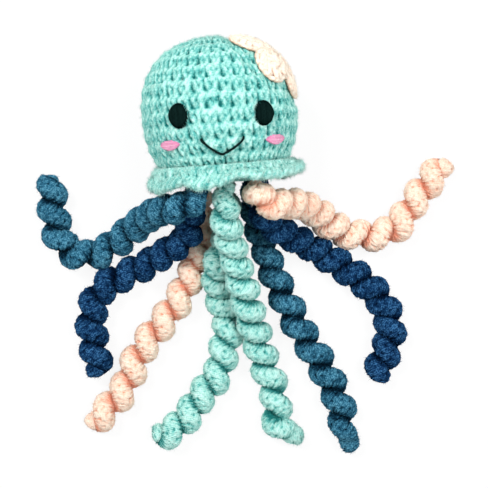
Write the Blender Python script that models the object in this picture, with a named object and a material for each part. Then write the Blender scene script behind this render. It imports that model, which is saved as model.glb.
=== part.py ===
"""A crochet octopus toy, lying on its back.

A stuffed head in rounds of single crochet, a ruffled frill under it, eight corkscrew arms, an
embroidered face and a sewn-on flower. Metres, +Z up. The face looks up and the arms lie towards -Y.
The origin is on the floor, in the small flat that the head rests on, under the head's middle.
"""
import math

import bmesh
import bpy
import numpy as np
from mathutils import Vector

# Fit between pieces
GAP = 0.0003  # room left between a piece and the one it is sewn to

# Head
HEAD_RADIUS = 0.0353  # axis to the widest round
CROWN_HEIGHT = 0.0335  # widest round to the crown
LOWER_HEIGHT = 0.0367  # widest round to where the lower curve would close
HEAD_FULLNESS = 2.35  # 2 gives an ellipse, more a fuller curve
HEAD_FABRIC = 0.0030  # thickness of the crocheted shell
OPENING_DROP = 0.0306  # widest round down to the opening's edge
REST_SINK = 0.0015  # how far the soft head is pressed flat where it rests
HEAD_TURN = 4.5  # degrees that the crown leans to the left
HEAD_NOD = 5.0  # degrees that the crown is raised off the floor
STITCHES = 36  # single crochets in a full round
FIRST_STITCHES = 6  # in the ring at the crown, and added by each round until full
ROUND_HEIGHT = 0.0066
STITCH_RELIEF = 0.0013  # depth of the groove between rounds
LEG_RELIEF = 0.0008  # depth of the groove between the stitches of a round
BASE_STITCHES = 24  # in the last rounds, which the base closes

# Base and filling
BASE_THICKNESS = 0.0031
BASE_ROUNDING = 0.0008
BASE_INSET = 0.0002  # the base's top face below the opening's inner edge
LINING_COLUMNS = 18  # sides of the shell's lining, the filling and the base
LINING_ROUNDS = 9
LINING_START = 0.1  # share of the way down at which the lining's first round lies
FILLING_ROOM = 0.0005  # between the filling and the lining

# Frill
FRILL_DROP = 0.0232  # widest round down to the frill's seam
FRILL_THICKNESS = 0.0028
FRILL_COLUMNS = 57
FRILL_SHARES = (0.0, 0.5, 1.0)  # of its length, where its section is drawn
FRILL_FLARE = 1.4  # 1 gives a straight slope, more a flare nearer the edge
FRILL_PRESSED = 0.0018  # thickness where it is pressed on the floor
# Degrees from the face's middle, hanging length and reach from the head's axis, fold by fold
FRILL_FOLDS = (
    (-90, 0.0085, 0.0342), (-72, 0.0112, 0.0350), (-59, 0.0122, 0.0350), (-45, 0.0102, 0.0342),
    (-33, 0.0086, 0.0332), (-19, 0.0116, 0.0350), (-5, 0.0102, 0.0345), (12, 0.0066, 0.0332),
    (27, 0.0082, 0.0345), (46, 0.0082, 0.0348), (62, 0.0076, 0.0345), (78, 0.0066, 0.0362),
    (93, 0.0054, 0.0365), (110, 0.0082, 0.0342), (126, 0.0104, 0.0352), (142, 0.0082, 0.0338),
    (158, 0.0104, 0.0350), (176, 0.0082, 0.0336), (194, 0.0104, 0.0350), (212, 0.0082, 0.0336),
    (230, 0.0104, 0.0350), (250, 0.0084, 0.0338),
)

# Arms
ARM_RING = 0.0160  # head's axis to an arm's start on the base
STRAND_RADIUS = 0.0048  # the crocheted strand that each arm coils, pulled tight among the others
COIL_RADIUS = 0.0020  # an arm's axis to its strand's middle
LOOSE_STRAND = 0.0047  # the strand's radius where an arm lies free of the others
LOOSE_COIL = 0.0029
LOOSE_START = 0.034  # along the arm, where it begins to widen
LOOSE_LENGTH = 0.030  # over which it widens
COIL_PITCH = 0.0106  # along the arm, for one turn
COIL_COLUMNS = 6
RING_STEP = 0.0019  # between the sections that draw an arm
NECK_LENGTH = 0.014  # over which an arm swells from its seam to its full coil
NECK_SHARE = 0.62  # of the full coil, at the seam
TAIL_LENGTH = 0.007  # over which the coil runs out at the tip
STRAIGHT_TAILS = {"arm_aqua_right": 0.017, "arm_steel_right": 0.021}  # the same, where it is longer
TAIL_RADIUS = 0.0042
TIP_LENGTH = 0.0020  # of the rounded end
PATH_STEPS = 24  # between two places of a route, to measure its length

# Each arm's length for one turn where it lies free, and the share of a turn that its coil starts with
LOOSE_TURNS = {
    "arm_aqua_right": (0.0127, 0.92), "arm_aqua_left": (0.0113, 0.92), "arm_peach_right": (0.0124, 0.75),
    "arm_peach_left": (0.0130, 0.33), "arm_navy_right": (0.0110, 0.02), "arm_navy_left": (0.0115, 0.67),
    "arm_steel_right": (0.0132, 0.96), "arm_steel_left": (0.0124, 0.02),
}

# Places along each arm: metres right and up from the middle of the arms' ring, and height in arm
# thicknesses above the floor. Where two arms cross, the upper one is about one thickness higher.
ARMS = {
    "arm_aqua_right": (90, (
        (0.0000, -0.0130, 2.90), (0.0020, -0.0240, 2.35), (0.0050, -0.0360, 1.85),
        (0.0080, -0.0470, 1.40), (0.0110, -0.0590, 0.88), (0.0142, -0.0700, 0.36),
        (0.0172, -0.0810, 0.06), (0.0210, -0.0920, 0.0), (0.0240, -0.1030, 0.0),
        (0.0240, -0.1110, 0.0), (0.0290, -0.1175, 0.0), (0.0370, -0.1180, 0.0))),
    "arm_peach_right": (45, (
        (0.0140, -0.0060, 2.95), (0.0190, -0.0095, 2.90), (0.0252, -0.0103, 2.50),
        (0.0314, -0.0096, 1.95), (0.0384, -0.0113, 1.25), (0.0460, -0.0162, 0.58),
        (0.0550, -0.0220, 0.10), (0.0650, -0.0240, 0.0), (0.0740, -0.0230, 0.0),
        (0.0820, -0.0190, 0.0), (0.0870, -0.0110, 0.0), (0.0920, -0.0040, 0.0),
        (0.0990, 0.0050, 0.0), (0.1050, 0.0120, 0.0))),
    "arm_navy_right": (0, (
        (0.0170, -0.0120, 1.60), (0.0200, -0.0180, 1.27), (0.0260, -0.0220, 0.92),
        (0.0340, -0.0260, 0.48), (0.0420, -0.0300, 0.12), (0.0500, -0.0350, 0.0),
        (0.0590, -0.0410, 0.0), (0.0680, -0.0480, 0.0), (0.0750, -0.0570, 0.0),
        (0.0780, -0.0670, 0.0), (0.0770, -0.0760, 0.0), (0.0740, -0.0840, 0.0),
        (0.0720, -0.0930, 0.0))),
    "arm_steel_right": (-45, (
        (0.0130, -0.0080, 0.55), (0.0140, -0.0150, 0.20), (0.0160, -0.0230, 0.0),
        (0.0190, -0.0320, 0.0), (0.0230, -0.0430, 0.0), (0.0290, -0.0560, 0.0),
        (0.0360, -0.0700, 0.0), (0.0430, -0.0810, 0.0), (0.0490, -0.0920, 0.0),
        (0.0540, -0.1040, 0.0), (0.0560, -0.1160, 0.0), (0.0610, -0.1260, 0.0))),
    "arm_aqua_left": (-90, (
        (0.0005, -0.0140, 0.80), (0.0000, -0.0260, 0.80), (-0.0040, -0.0370, 0.72),
        (-0.0040, -0.0460, 0.30), (-0.0020, -0.0560, 0.02), (0.0010, -0.0670, 0.0),
        (-0.0010, -0.0780, 0.0), (-0.0040, -0.0900, 0.0), (-0.0110, -0.0990, 0.0),
        (-0.0170, -0.1080, 0.0), (-0.0260, -0.1170, 0.0), (-0.0350, -0.1190, 0.0))),
    "arm_peach_left": (-135, (
        (-0.0120, -0.0090, 0.55), (-0.0125, -0.0150, 0.25), (-0.0125, -0.0220, 0.02),
        (-0.0130, -0.0300, 0.0), (-0.0170, -0.0430, 0.0), (-0.0230, -0.0550, 0.0),
        (-0.0300, -0.0650, 0.0), (-0.0380, -0.0750, 0.0), (-0.0440, -0.0860, 0.0),
        (-0.0480, -0.0960, 0.0), (-0.0560, -0.1060, 0.0), (-0.0650, -0.1150, 0.0))),
    "arm_navy_left": (180, (
        (-0.0160, -0.0120, 1.65), (-0.0160, -0.0190, 1.35), (-0.0185, -0.0255, 1.02),
        (-0.0250, -0.0300, 0.70), (-0.0330, -0.0350, 0.30), (-0.0410, -0.0393, 0.02),
        (-0.0500, -0.0435, 0.0), (-0.0582, -0.0485, 0.0), (-0.0630, -0.0570, 0.0),
        (-0.0640, -0.0680, 0.0), (-0.0620, -0.0790, 0.0), (-0.0610, -0.0910, 0.0))),
    "arm_steel_left": (135, (
        (-0.0120, -0.0070, 2.92), (-0.0165, -0.0110, 2.88), (-0.0225, -0.0125, 2.60),
        (-0.0290, -0.0130, 2.05), (-0.0360, -0.0160, 1.32), (-0.0420, -0.0200, 0.76),
        (-0.0500, -0.0260, 0.30), (-0.0592, -0.0318, 0.05), (-0.0695, -0.0332, 0.0),
        (-0.0785, -0.0270, 0.0), (-0.0815, -0.0150, 0.0), (-0.0830, -0.0050, 0.0),
        (-0.0830, 0.0050, 0.0))),
}

# Face
OVAL_SIDES = 14
# Shares of an oval's outline and of its thickness, from its edge to its middle
OVAL_PROFILE = ((0.95, 0.0), (1.0, 0.4), (0.7, 0.9), (0.3, 1.0))
# Places in degrees round the head from its middle, and degrees above its widest round
EYE_PLACES = {"eye_left": (-28.5, -2.6), "eye_right": (32.6, -5.0)}
EYE_WIDTH = 0.0090
EYE_HEIGHT = 0.0104
EYE_THICKNESS = 0.0012
CHEEK_PLACES = {"cheek_left": (-40.5, -21.6), "cheek_right": (44.0, -23.0)}
CHEEK_WIDTH = 0.0108
CHEEK_HEIGHT = 0.0040
CHEEK_THICKNESS = 0.0008
SMILE_PLACES = ((-13.7, -19.6), (-10.6, -23.0), (-6.6, -26.4), (-2.8, -28.9), (0.6, -30.2),
                (4.0, -29.0), (9.2, -26.4), (13.4, -23.6), (16.6, -20.0))
SMILE_THREAD = 0.0009  # thickness
SMILE_SIDES = 6
SMILE_STEPS = 12

# Flower
FLOWER_PLACE = (76.0, 41.0)  # degrees, as for the face
PETAL_BEARINGS = (-40, -112, 170, 100, 30)  # degrees from the crown's side, towards the back
PETAL_REACH = 0.0222
PETAL_RADIUS = 0.0082
FLOWER_HEART = 0.0146  # radius of the round that the petals grow from
FLOWER_THICKNESS = 0.0020
FLOWER_DENT = 0.0016  # how far the soft head gives under the flower
DENT_FADE = 0.0060  # from the petals' tips to where the dent ends
FLOWER_SEAT = 0.0004  # under the flower, over the head's stitches
FLOWER_COLUMNS = 36
# Shares of the flower's outline, with heights over its seat below and down from its top above
FLOWER_UNDER = ((0.33, 0.0), (0.66, 0.0), (0.97, 0.0))
FLOWER_OVER = ((1.0, 0.0012), (0.9, 0.0002), (0.6, 0.0), (0.3, 0.0008))

AQUA = (0.40, 0.80, 0.74)
PEACH = (0.93, 0.70, 0.58)
NAVY = (0.020, 0.062, 0.150)
STEEL = (0.030, 0.115, 0.190)
BLACK = (0.008, 0.012, 0.014)
PINK = (0.80, 0.36, 0.52)
WADDING = (0.86, 0.85, 0.82)
YARN_ROUGHNESS = 0.9
SHARP_ANGLE = 60.0  # degrees between faces that are shaded apart


def head_directions():
    """The head's right, crown and face directions."""
    turn = math.radians(HEAD_TURN)
    nod = math.radians(HEAD_NOD)
    right = Vector((math.cos(turn), math.sin(turn), 0))
    crown = Vector((-math.sin(turn) * math.cos(nod), math.cos(turn) * math.cos(nod), math.sin(nod)))
    return right, crown, right.cross(crown)


RIGHT, CROWN, FACE = head_directions()
HEAD_MIDDLE = Vector((0, 0, HEAD_RADIUS - REST_SINK))


def smooth(share):
    """Eases from 0 to 1."""
    share = max(0.0, min(1.0, share))
    return share * share * (3 - 2 * share)


def head_reach(rise):
    """From the head's middle to its surface, for a direction this many radians above the widest round."""
    across = math.cos(rise) / HEAD_RADIUS
    along = abs(math.sin(rise)) / (CROWN_HEIGHT if rise > 0 else LOWER_HEIGHT)
    return (across ** HEAD_FULLNESS + along ** HEAD_FULLNESS) ** (-1 / HEAD_FULLNESS)


def direction(around, rise):
    """A unit vector, radians round from the face's middle and above the widest round."""
    flat = RIGHT * math.sin(around) + FACE * math.cos(around)
    return flat * math.cos(rise) + CROWN * math.sin(rise)


def surface(way, lift):
    """The place on the head's surface in a direction from its middle, lifted off it."""
    rise = math.asin(max(-1.0, min(1.0, way.dot(CROWN))))
    off_flower = way.angle(direction(*(math.radians(a) for a in FLOWER_PLACE)))
    beyond = off_flower * HEAD_RADIUS - PETAL_REACH
    give = FLOWER_DENT * smooth(1 - beyond / DENT_FADE)
    return HEAD_MIDDLE + way * (head_reach(rise) - give + lift)


def on_head(around, rise, lift):
    """A place on the head at angles in radians, lifted off its surface."""
    return surface(direction(around, rise), lift)


def rise_at_drop(drop, lift=0.0):
    """The angle at which the surface, lifted, lies this far below the widest round."""
    low, high = -math.pi / 2, 0.0
    for _ in range(50):
        middle = (low + high) / 2
        if -math.sin(middle) * (head_reach(middle) + lift) > drop:
            low = middle
        else:
            high = middle
    return low


def axis_radius(drop, lift=0.0):
    """The head's radius about its axis at this drop."""
    rise = rise_at_drop(drop, lift)
    return math.cos(rise) * (head_reach(rise) + lift)


def surface_steps():
    """Angles down the head's surface with the distance from the crown to each."""
    rises = np.linspace(math.pi / 2, rise_at_drop(OPENING_DROP), 400)
    reaches = np.array([head_reach(rise) for rise in rises])
    profile = np.stack([np.cos(rises) * reaches, np.sin(rises) * reaches], 1)
    steps = np.linalg.norm(np.diff(profile, axis=0), axis=1)
    return rises, np.concatenate([[0], np.cumsum(steps)])


def material(name, colour):
    made = bpy.data.materials.new(name)
    made.use_nodes = True
    shader = made.node_tree.nodes["Principled BSDF"]
    shader.inputs["Base Color"].default_value = (*colour, 1)
    shader.inputs["Roughness"].default_value = YARN_ROUGHNESS
    shader.inputs["Metallic"].default_value = 0.0
    return made


def piece(name, points, faces, colour):
    """An object from closed faces, turned to face out and shaded smooth."""
    mesh = bpy.data.meshes.new(name)
    mesh.from_pydata([tuple(point) for point in points], [], faces)
    form = bmesh.new()
    form.from_mesh(mesh)
    bmesh.ops.triangulate(form, faces=form.faces)
    bmesh.ops.recalc_face_normals(form, faces=form.faces)
    form.to_mesh(mesh)
    form.free()
    mesh.shade_smooth()
    mesh.set_sharp_from_angle(angle=math.radians(SHARP_ANGLE))
    mesh.materials.append(material(name, colour))
    made = bpy.data.objects.new(name, mesh)
    bpy.context.collection.objects.link(made)
    return made


def zip_rings(faces, first, second):
    """Triangles between two closed rings of point numbers, which may differ in count."""
    i = j = 0
    while i < len(first) or j < len(second):
        a, b = first[i % len(first)], second[j % len(second)]
        if j == len(second) or (i < len(first) and (i + 1) * len(second) <= (j + 1) * len(first)):
            faces.append((a, first[(i + 1) % len(first)], b))
            i += 1
        else:
            faces.append((a, second[(j + 1) % len(second)], b))
            j += 1


def shell_of_rings(rings, start=None, end=None):
    """Points and faces of rings joined one to the next, each end closed by a point or its own face."""
    points, faces, numbers = [], [], []
    for ring in rings:
        numbers.append(list(range(len(points), len(points) + len(ring))))
        points += ring
    for first, second in zip(numbers, numbers[1:]):
        zip_rings(faces, first, second)
    for ring, cap in ((numbers[0], start), (numbers[-1], end)):
        if cap is None:
            faces.append(tuple(ring))
            continue
        points.append(cap)
        faces += [(a, b, len(points) - 1) for a, b in zip(ring, ring[1:] + ring[:1])]
    return points, faces


def head_ring(rise, count, lift, floor, groove=0.0):
    """A round of points on the head. Every other one is sunk by the groove."""
    ring = []
    for k in range(count):
        point = on_head(2 * math.pi * k / count, rise, lift - groove * (k % 2))
        point.z = max(point.z, floor)
        ring.append(point)
    return ring


def stitches_in(number, rounds):
    """Single crochets in a round: six more each time from the crown, fewer in the last two."""
    if number == rounds - 1:
        return BASE_STITCHES
    if number == rounds - 2:
        return (STITCHES + BASE_STITCHES) // 2
    return min(STITCHES, FIRST_STITCHES * (number + 1))


def lining_rings(lift, floor):
    """Plain rounds inside the shell, from near the crown to the opening."""
    rises, along = surface_steps()
    rings = []
    for share in np.linspace(LINING_START, 1, LINING_ROUNDS):
        rise = float(np.interp(share * along[-1], along, rises))
        rings.append(head_ring(rise, LINING_COLUMNS, lift, floor))
    return rings


def build_head():
    """The crocheted shell: stitched rounds outside, a plain lining inside, open at the base."""
    rises, along = surface_steps()
    rounds = round(along[-1] / ROUND_HEIGHT)
    height = along[-1] / rounds
    outside = []
    for number in range(rounds):
        count = stitches_in(number, rounds)
        middle = float(np.interp((number + 0.5) * height, along, rises))
        edge = float(np.interp((number + 1) * height, along, rises))
        outside.append(head_ring(middle, 2 * count, 0.0, 0.0, groove=LEG_RELIEF))
        sunk = STITCH_RELIEF if number < rounds - 1 else 0.0
        outside.append(head_ring(edge, count, -sunk, 0.0))
    lining = lining_rings(-HEAD_FABRIC, HEAD_FABRIC)
    crown_out = on_head(0, math.pi / 2, -STITCH_RELIEF / 2)
    crown_in = on_head(0, math.pi / 2, -HEAD_FABRIC)
    points, faces = shell_of_rings(outside + lining[::-1], crown_out, crown_in)
    return piece("head_cover", points, faces, AQUA)


def lining_edge():
    """Drop and radius of the opening's inner edge."""
    rise = rise_at_drop(OPENING_DROP)
    reach = head_reach(rise) - HEAD_FABRIC
    return -math.sin(rise) * reach, math.cos(rise) * reach


def disc_ring(drop, radius):
    """A level round of points about the head's axis, clear of the floor."""
    ring = []
    for k in range(LINING_COLUMNS):
        angle = 2 * math.pi * k / LINING_COLUMNS
        across = RIGHT * math.sin(angle) + FACE * math.cos(angle)
        ring.append(HEAD_MIDDLE - CROWN * drop + across * radius)
    return ring


def build_base():
    """The round that closes the opening and carries the arms."""
    inner_drop, inner_radius = lining_edge()
    top = inner_drop + BASE_INSET
    radius = inner_radius - GAP
    edge = BASE_ROUNDING
    rings = [disc_ring(top, radius - edge), disc_ring(top + edge, radius)]
    rings += [disc_ring(top + BASE_THICKNESS - edge, radius)]
    rings += [disc_ring(top + BASE_THICKNESS, radius - edge)]
    return piece("base_disc", *shell_of_rings(rings), AQUA)


def base_bottom():
    """Drop of the base's lower face, which the arms start from."""
    return lining_edge()[0] + BASE_INSET + BASE_THICKNESS


def build_filling():
    """The fibrefill, pressed against the lining and the base."""
    lift = -HEAD_FABRIC - FILLING_ROOM
    inner_drop, inner_radius = lining_edge()
    rings = lining_rings(lift, HEAD_FABRIC + GAP)[:-1]
    rings.append(disc_ring(inner_drop + BASE_INSET - GAP, inner_radius - FILLING_ROOM))
    points, faces = shell_of_rings(rings[::-1], end=on_head(0, math.pi / 2, lift))
    return piece("head_stuffing", points, faces, WADDING)


def fold_at(angle):
    """The frill's hanging length and reach at an angle in degrees, read smoothly between its folds."""
    folds = sorted((a % 360, length, reach) for a, length, reach in FRILL_FOLDS)
    folds = [(folds[-1][0] - 360, *folds[-1][1:])] + folds + [(folds[0][0] + 360, *folds[0][1:])]
    angle %= 360
    for before, after in zip(folds, folds[1:]):
        if before[0] <= angle <= after[0]:
            share = (angle - before[0]) / (after[0] - before[0])
            share = (1 - math.cos(math.pi * share)) / 2
            return tuple(a + (b - a) * share for a, b in zip(before[1:], after[1:]))
    return folds[0][1:]


def frill_section(angle):
    """Points round the frill's cloth at one angle: down its outside, round its edge and up its inside."""
    length, reach = fold_at(math.degrees(angle))
    half = FRILL_THICKNESS / 2
    root = axis_radius(FRILL_DROP) + GAP + half
    run = reach - half - root
    stations = []
    for share in FRILL_SHARES:
        stations.append((root + run * share ** FRILL_FLARE, -FRILL_DROP - (length - half) * share))
    outside, inside = [], []
    for k, (radius, height) in enumerate(stations):
        before, after = stations[max(k - 1, 0)], stations[min(k + 1, len(stations) - 1)]
        slope = Vector((after[0] - before[0], after[1] - before[1])).normalized()
        outside.append((radius - slope.y * half, height + slope.x * half, 0.0))
        inside.append((radius + slope.y * half, height - slope.x * half, FRILL_PRESSED))
        tip = (radius + slope.x * half, height + slope.y * half, FRILL_PRESSED / 2)
    across = RIGHT * math.sin(angle) + FACE * math.cos(angle)
    section = []
    for radius, height, floor in outside + [tip] + inside[::-1]:
        point = HEAD_MIDDLE + across * radius + CROWN * height
        point.z = max(point.z, floor)
        section.append(point)
    return section


def build_frill():
    sections = [frill_section(2 * math.pi * k / FRILL_COLUMNS) for k in range(FRILL_COLUMNS)]
    around = len(sections[0])
    points = [point for section in sections for point in section]
    faces = []
    for k in range(FRILL_COLUMNS):
        for j in range(around):
            a, b = k * around, ((k + 1) % FRILL_COLUMNS) * around
            faces.append((a + j, a + (j + 1) % around, b + (j + 1) % around, b + j))
    return piece("skirt", points, faces, AQUA)


def smooth_path(route, lead, step):
    """Evenly spaced points on a smooth curve through the route, which sets out along lead."""
    places = np.array([tuple(point) for point in route])
    count = len(places)
    knots = np.concatenate([[0], np.cumsum(np.linalg.norm(np.diff(places, axis=0), axis=1) ** 0.5)])
    spans = np.diff(knots)
    slopes = np.diff(places, axis=0) / spans[:, None]
    matrix = np.zeros((count, count))
    target = np.zeros((count, 3))
    matrix[0, :2] = 2 * spans[0], spans[0]
    target[0] = 6 * (slopes[0] - np.array(lead) * np.linalg.norm(slopes[0]))
    matrix[-1, -1] = 1
    for k in range(1, count - 1):
        matrix[k, k - 1:k + 2] = spans[k - 1], 2 * (spans[k - 1] + spans[k]), spans[k]
        target[k] = 6 * (slopes[k] - slopes[k - 1])
    bend = np.linalg.solve(matrix, target)
    fine = []
    for k in range(count - 1):
        for share in np.linspace(0, 1, PATH_STEPS, endpoint=False):
            x = share * spans[k]
            start = slopes[k] - spans[k] * (2 * bend[k] + bend[k + 1]) / 6
            curve = bend[k] / 2 * x ** 2 + (bend[k + 1] - bend[k]) / (6 * spans[k]) * x ** 3
            fine.append(places[k] + start * x + curve)
    fine = np.array(fine + [places[-1]])
    along = np.concatenate([[0], np.cumsum(np.linalg.norm(np.diff(fine, axis=0), axis=1))])
    wanted = np.linspace(0, along[-1], max(2, round(along[-1] / step)) + 1)
    return [Vector([np.interp(s, along, fine[:, k]) for k in range(3)]) for s in wanted], along[-1]


def coil_reach(angle, strand, coil, climb):
    """From the arm's axis to the coiled strand's surface, this angle round from the strand's crest."""
    best = 0.0
    for turn in np.linspace(-math.pi, math.pi, 73):
        room = strand ** 2 - (climb * turn) ** 2 - (coil * math.sin(angle - turn)) ** 2
        if room > 0:
            best = max(best, coil * math.cos(angle - turn) + math.sqrt(room))
    return best


def coil_size(s, length, tail_length):
    """Strand and coil radius at a distance along the arm: a neck, a loose stretch and a tail."""
    neck = NECK_SHARE + (1 - NECK_SHARE) * smooth(s / NECK_LENGTH)
    loose = smooth((s - LOOSE_START) / LOOSE_LENGTH)
    tail = smooth((length - s) / tail_length)
    strand = (STRAND_RADIUS + (LOOSE_STRAND - STRAND_RADIUS) * loose) * neck
    coil = (COIL_RADIUS + (LOOSE_COIL - COIL_RADIUS) * loose) * neck
    return TAIL_RADIUS + (strand - TAIL_RADIUS) * tail, coil * tail


def coil_pitch(s, loose_pitch):
    """Length of the arm for one turn of its coil, at a distance along it."""
    return COIL_PITCH + (loose_pitch - COIL_PITCH) * smooth((s - LOOSE_START) / LOOSE_LENGTH)


def build_arm(name, bearing, places, colour):
    """A corkscrew arm from the base to its tip, coiled to the left."""
    full = STRAND_RADIUS + COIL_RADIUS
    angle = math.radians(bearing)
    ring_middle = HEAD_MIDDLE - CROWN * (base_bottom() + GAP)
    start = ring_middle + (RIGHT * math.cos(angle) + FACE * math.sin(angle)) * ARM_RING
    route = [start]
    for x, y, level in places:
        height = full + level * (2 * full + GAP)
        route.append(Vector((ring_middle.x + x, ring_middle.y + y, height)))
    path, length = smooth_path(route, -CROWN, RING_STEP)
    across = RIGHT.copy()
    loose_pitch, first_turn = LOOSE_TURNS[name]
    twist = -2 * math.pi * first_turn
    rings = []
    for k, place in enumerate(path):
        ahead = (path[min(k + 1, len(path) - 1)] - path[max(k - 1, 0)]).normalized()
        if k == 0:
            ahead = -CROWN
        across = (across - ahead * across.dot(ahead)).normalized()
        beside = ahead.cross(across)
        s = length * k / (len(path) - 1)
        strand, coil = coil_size(s, length, STRAIGHT_TAILS.get(name, TAIL_LENGTH))
        climb = coil_pitch(s, loose_pitch) / (2 * math.pi)
        ring = []
        for column in range(COIL_COLUMNS):
            offset = 2 * math.pi * column / COIL_COLUMNS
            reach = coil_reach(offset, strand, coil, climb)
            turned = twist - offset
            point = place + (across * math.cos(turned) + beside * math.sin(turned)) * reach
            point.z = max(point.z, 0.0)
            ring.append(point)
        rings.append(ring)
        twist -= length / (len(path) - 1) / climb
    tip = path[-1] + (path[-1] - path[-2]).normalized() * TIP_LENGTH
    return piece(name, *shell_of_rings(rings, end=tip), colour)


def patch_frame(place):
    """The outward, crownward and rightward directions at a place on the head in degrees."""
    out = direction(*(math.radians(a) for a in place))
    up = (CROWN - out * CROWN.dot(out)).normalized()
    return out, up, up.cross(out)


def over_head(frame, side, up, lift):
    """A place on the head this far along it from a patch's middle, lifted off the surface."""
    out, upward, sideways = frame
    distance = math.hypot(side, up)
    turn = distance / HEAD_RADIUS
    way = out
    if distance > 0:
        across = (sideways * side + upward * up) / distance
        way = out * math.cos(turn) + across * math.sin(turn)
    return surface(way, lift)


def build_patch(name, place, outline, profile, seat, colour):
    """A patch sewn on the head: its outline drawn in at each share of the profile, with a height there."""
    frame = patch_frame(place)
    rings = []
    for share, lift in profile:
        rings.append([over_head(frame, x * share, y * share, lift) for x, y in outline])
    top = over_head(frame, 0, 0, profile[-1][1])
    under = over_head(frame, 0, 0, seat)
    return piece(name, *shell_of_rings(rings, start=under, end=top), colour)


def oval(width, height, count):
    angles = [2 * math.pi * k / count for k in range(count)]
    return [(width / 2 * math.cos(a), height / 2 * math.sin(a)) for a in angles]


def build_ovals(places, width, height, thickness, colour):
    """Satin-stitched ovals, fuller in the middle."""
    profile = [(share, GAP + thickness * height_share) for share, height_share in OVAL_PROFILE]
    for name, place in places.items():
        build_patch(name, place, oval(width, height, OVAL_SIDES), profile, GAP, colour)


def build_smile():
    """The smile's thread, a round strand along its curve."""
    around = [math.radians(a) for a, _ in SMILE_PLACES]
    rise = [math.radians(b) for _, b in SMILE_PLACES]
    shares = np.linspace(0, len(SMILE_PLACES) - 1, SMILE_STEPS + 1)
    middle = GAP + SMILE_THREAD / 2
    path = []
    for share in shares:
        a = float(np.interp(share, range(len(around)), around))
        b = float(np.interp(share, range(len(rise)), rise))
        path.append(on_head(a, b, middle))
    rings = []
    for k, place in enumerate(path):
        ahead = (path[min(k + 1, len(path) - 1)] - path[max(k - 1, 0)]).normalized()
        out = (place - HEAD_MIDDLE).normalized()
        out = (out - ahead * out.dot(ahead)).normalized()
        beside = ahead.cross(out)
        radius = SMILE_THREAD / 2
        rings.append([place + (out * math.cos(t) + beside * math.sin(t)) * radius
                      for t in (2 * math.pi * j / SMILE_SIDES for j in range(SMILE_SIDES))])
    return piece("smile", *shell_of_rings(rings), BLACK)


def petal_reach(bearing):
    """From the flower's middle to its edge on a bearing: five round petals on a round heart."""
    middle = PETAL_REACH - PETAL_RADIUS
    reach = FLOWER_HEART
    for petal in PETAL_BEARINGS:
        off = math.radians(bearing - petal)
        room = PETAL_RADIUS ** 2 - (middle * math.sin(off)) ** 2
        if room > 0 and math.cos(off) > 0:
            reach = max(reach, middle * math.cos(off) + math.sqrt(room))
    return reach


def build_flower():
    outline = []
    for k in range(FLOWER_COLUMNS):
        bearing = 360 * k / FLOWER_COLUMNS
        reach = petal_reach(bearing)
        outline.append((reach * math.sin(math.radians(bearing)), reach * math.cos(math.radians(bearing))))
    top = FLOWER_SEAT + FLOWER_THICKNESS
    profile = [(share, FLOWER_SEAT + height) for share, height in FLOWER_UNDER]
    profile += [(share, top - down) for share, down in FLOWER_OVER]
    return build_patch("flower", FLOWER_PLACE, outline, profile, FLOWER_SEAT, PEACH)


def main():
    for thing in list(bpy.data.objects):
        bpy.data.objects.remove(thing)
    build_head()
    build_base()
    build_filling()
    build_frill()
    colours = {"aqua": AQUA, "peach": PEACH, "navy": NAVY, "steel": STEEL}
    for name, (bearing, places) in ARMS.items():
        build_arm(name, bearing, places, colours[name.split("_")[1]])
    build_ovals(EYE_PLACES, EYE_WIDTH, EYE_HEIGHT, EYE_THICKNESS, BLACK)
    build_ovals(CHEEK_PLACES, CHEEK_WIDTH, CHEEK_HEIGHT, CHEEK_THICKNESS, PINK)
    build_smile()
    build_flower()


main()
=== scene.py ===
"""A crochet octopus toy of soft yarn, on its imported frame."""
import math

import bpy
import numpy as np
from bpy.props import FloatProperty, FloatVectorProperty, IntProperty, PointerProperty
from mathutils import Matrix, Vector


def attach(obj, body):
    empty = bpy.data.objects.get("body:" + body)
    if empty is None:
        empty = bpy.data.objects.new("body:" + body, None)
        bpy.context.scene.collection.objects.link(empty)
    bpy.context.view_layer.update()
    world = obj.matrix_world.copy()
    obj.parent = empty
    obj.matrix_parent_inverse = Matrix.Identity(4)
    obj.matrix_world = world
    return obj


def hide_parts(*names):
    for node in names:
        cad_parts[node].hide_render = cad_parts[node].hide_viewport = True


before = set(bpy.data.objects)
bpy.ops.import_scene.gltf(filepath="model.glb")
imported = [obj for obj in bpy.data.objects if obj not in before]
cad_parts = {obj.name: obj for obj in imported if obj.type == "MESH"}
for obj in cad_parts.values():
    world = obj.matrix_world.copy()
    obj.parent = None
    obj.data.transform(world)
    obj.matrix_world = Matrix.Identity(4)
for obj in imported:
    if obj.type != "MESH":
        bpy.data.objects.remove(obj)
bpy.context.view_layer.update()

bl_info = {
    "name": "Crochet Octopus",
    "version": (1, 0, 0),
    "blender": (4, 5, 0),
    "location": "3D View > Sidebar > Octopus",
    "description": "Builds a stuffed crochet octopus toy with corkscrew arms",
    "category": "Add Mesh",
}

MM = 0.001

# How finely the soft sheets are divided: points round, and rows to a round or a face
HEAD_COLUMNS, HEAD_ROWS, LINING_ROWS = 432, 11, 9
FRILL_COLUMNS, FRILL_ROWS, LIP_ROWS = 552, 16, 9

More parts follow.
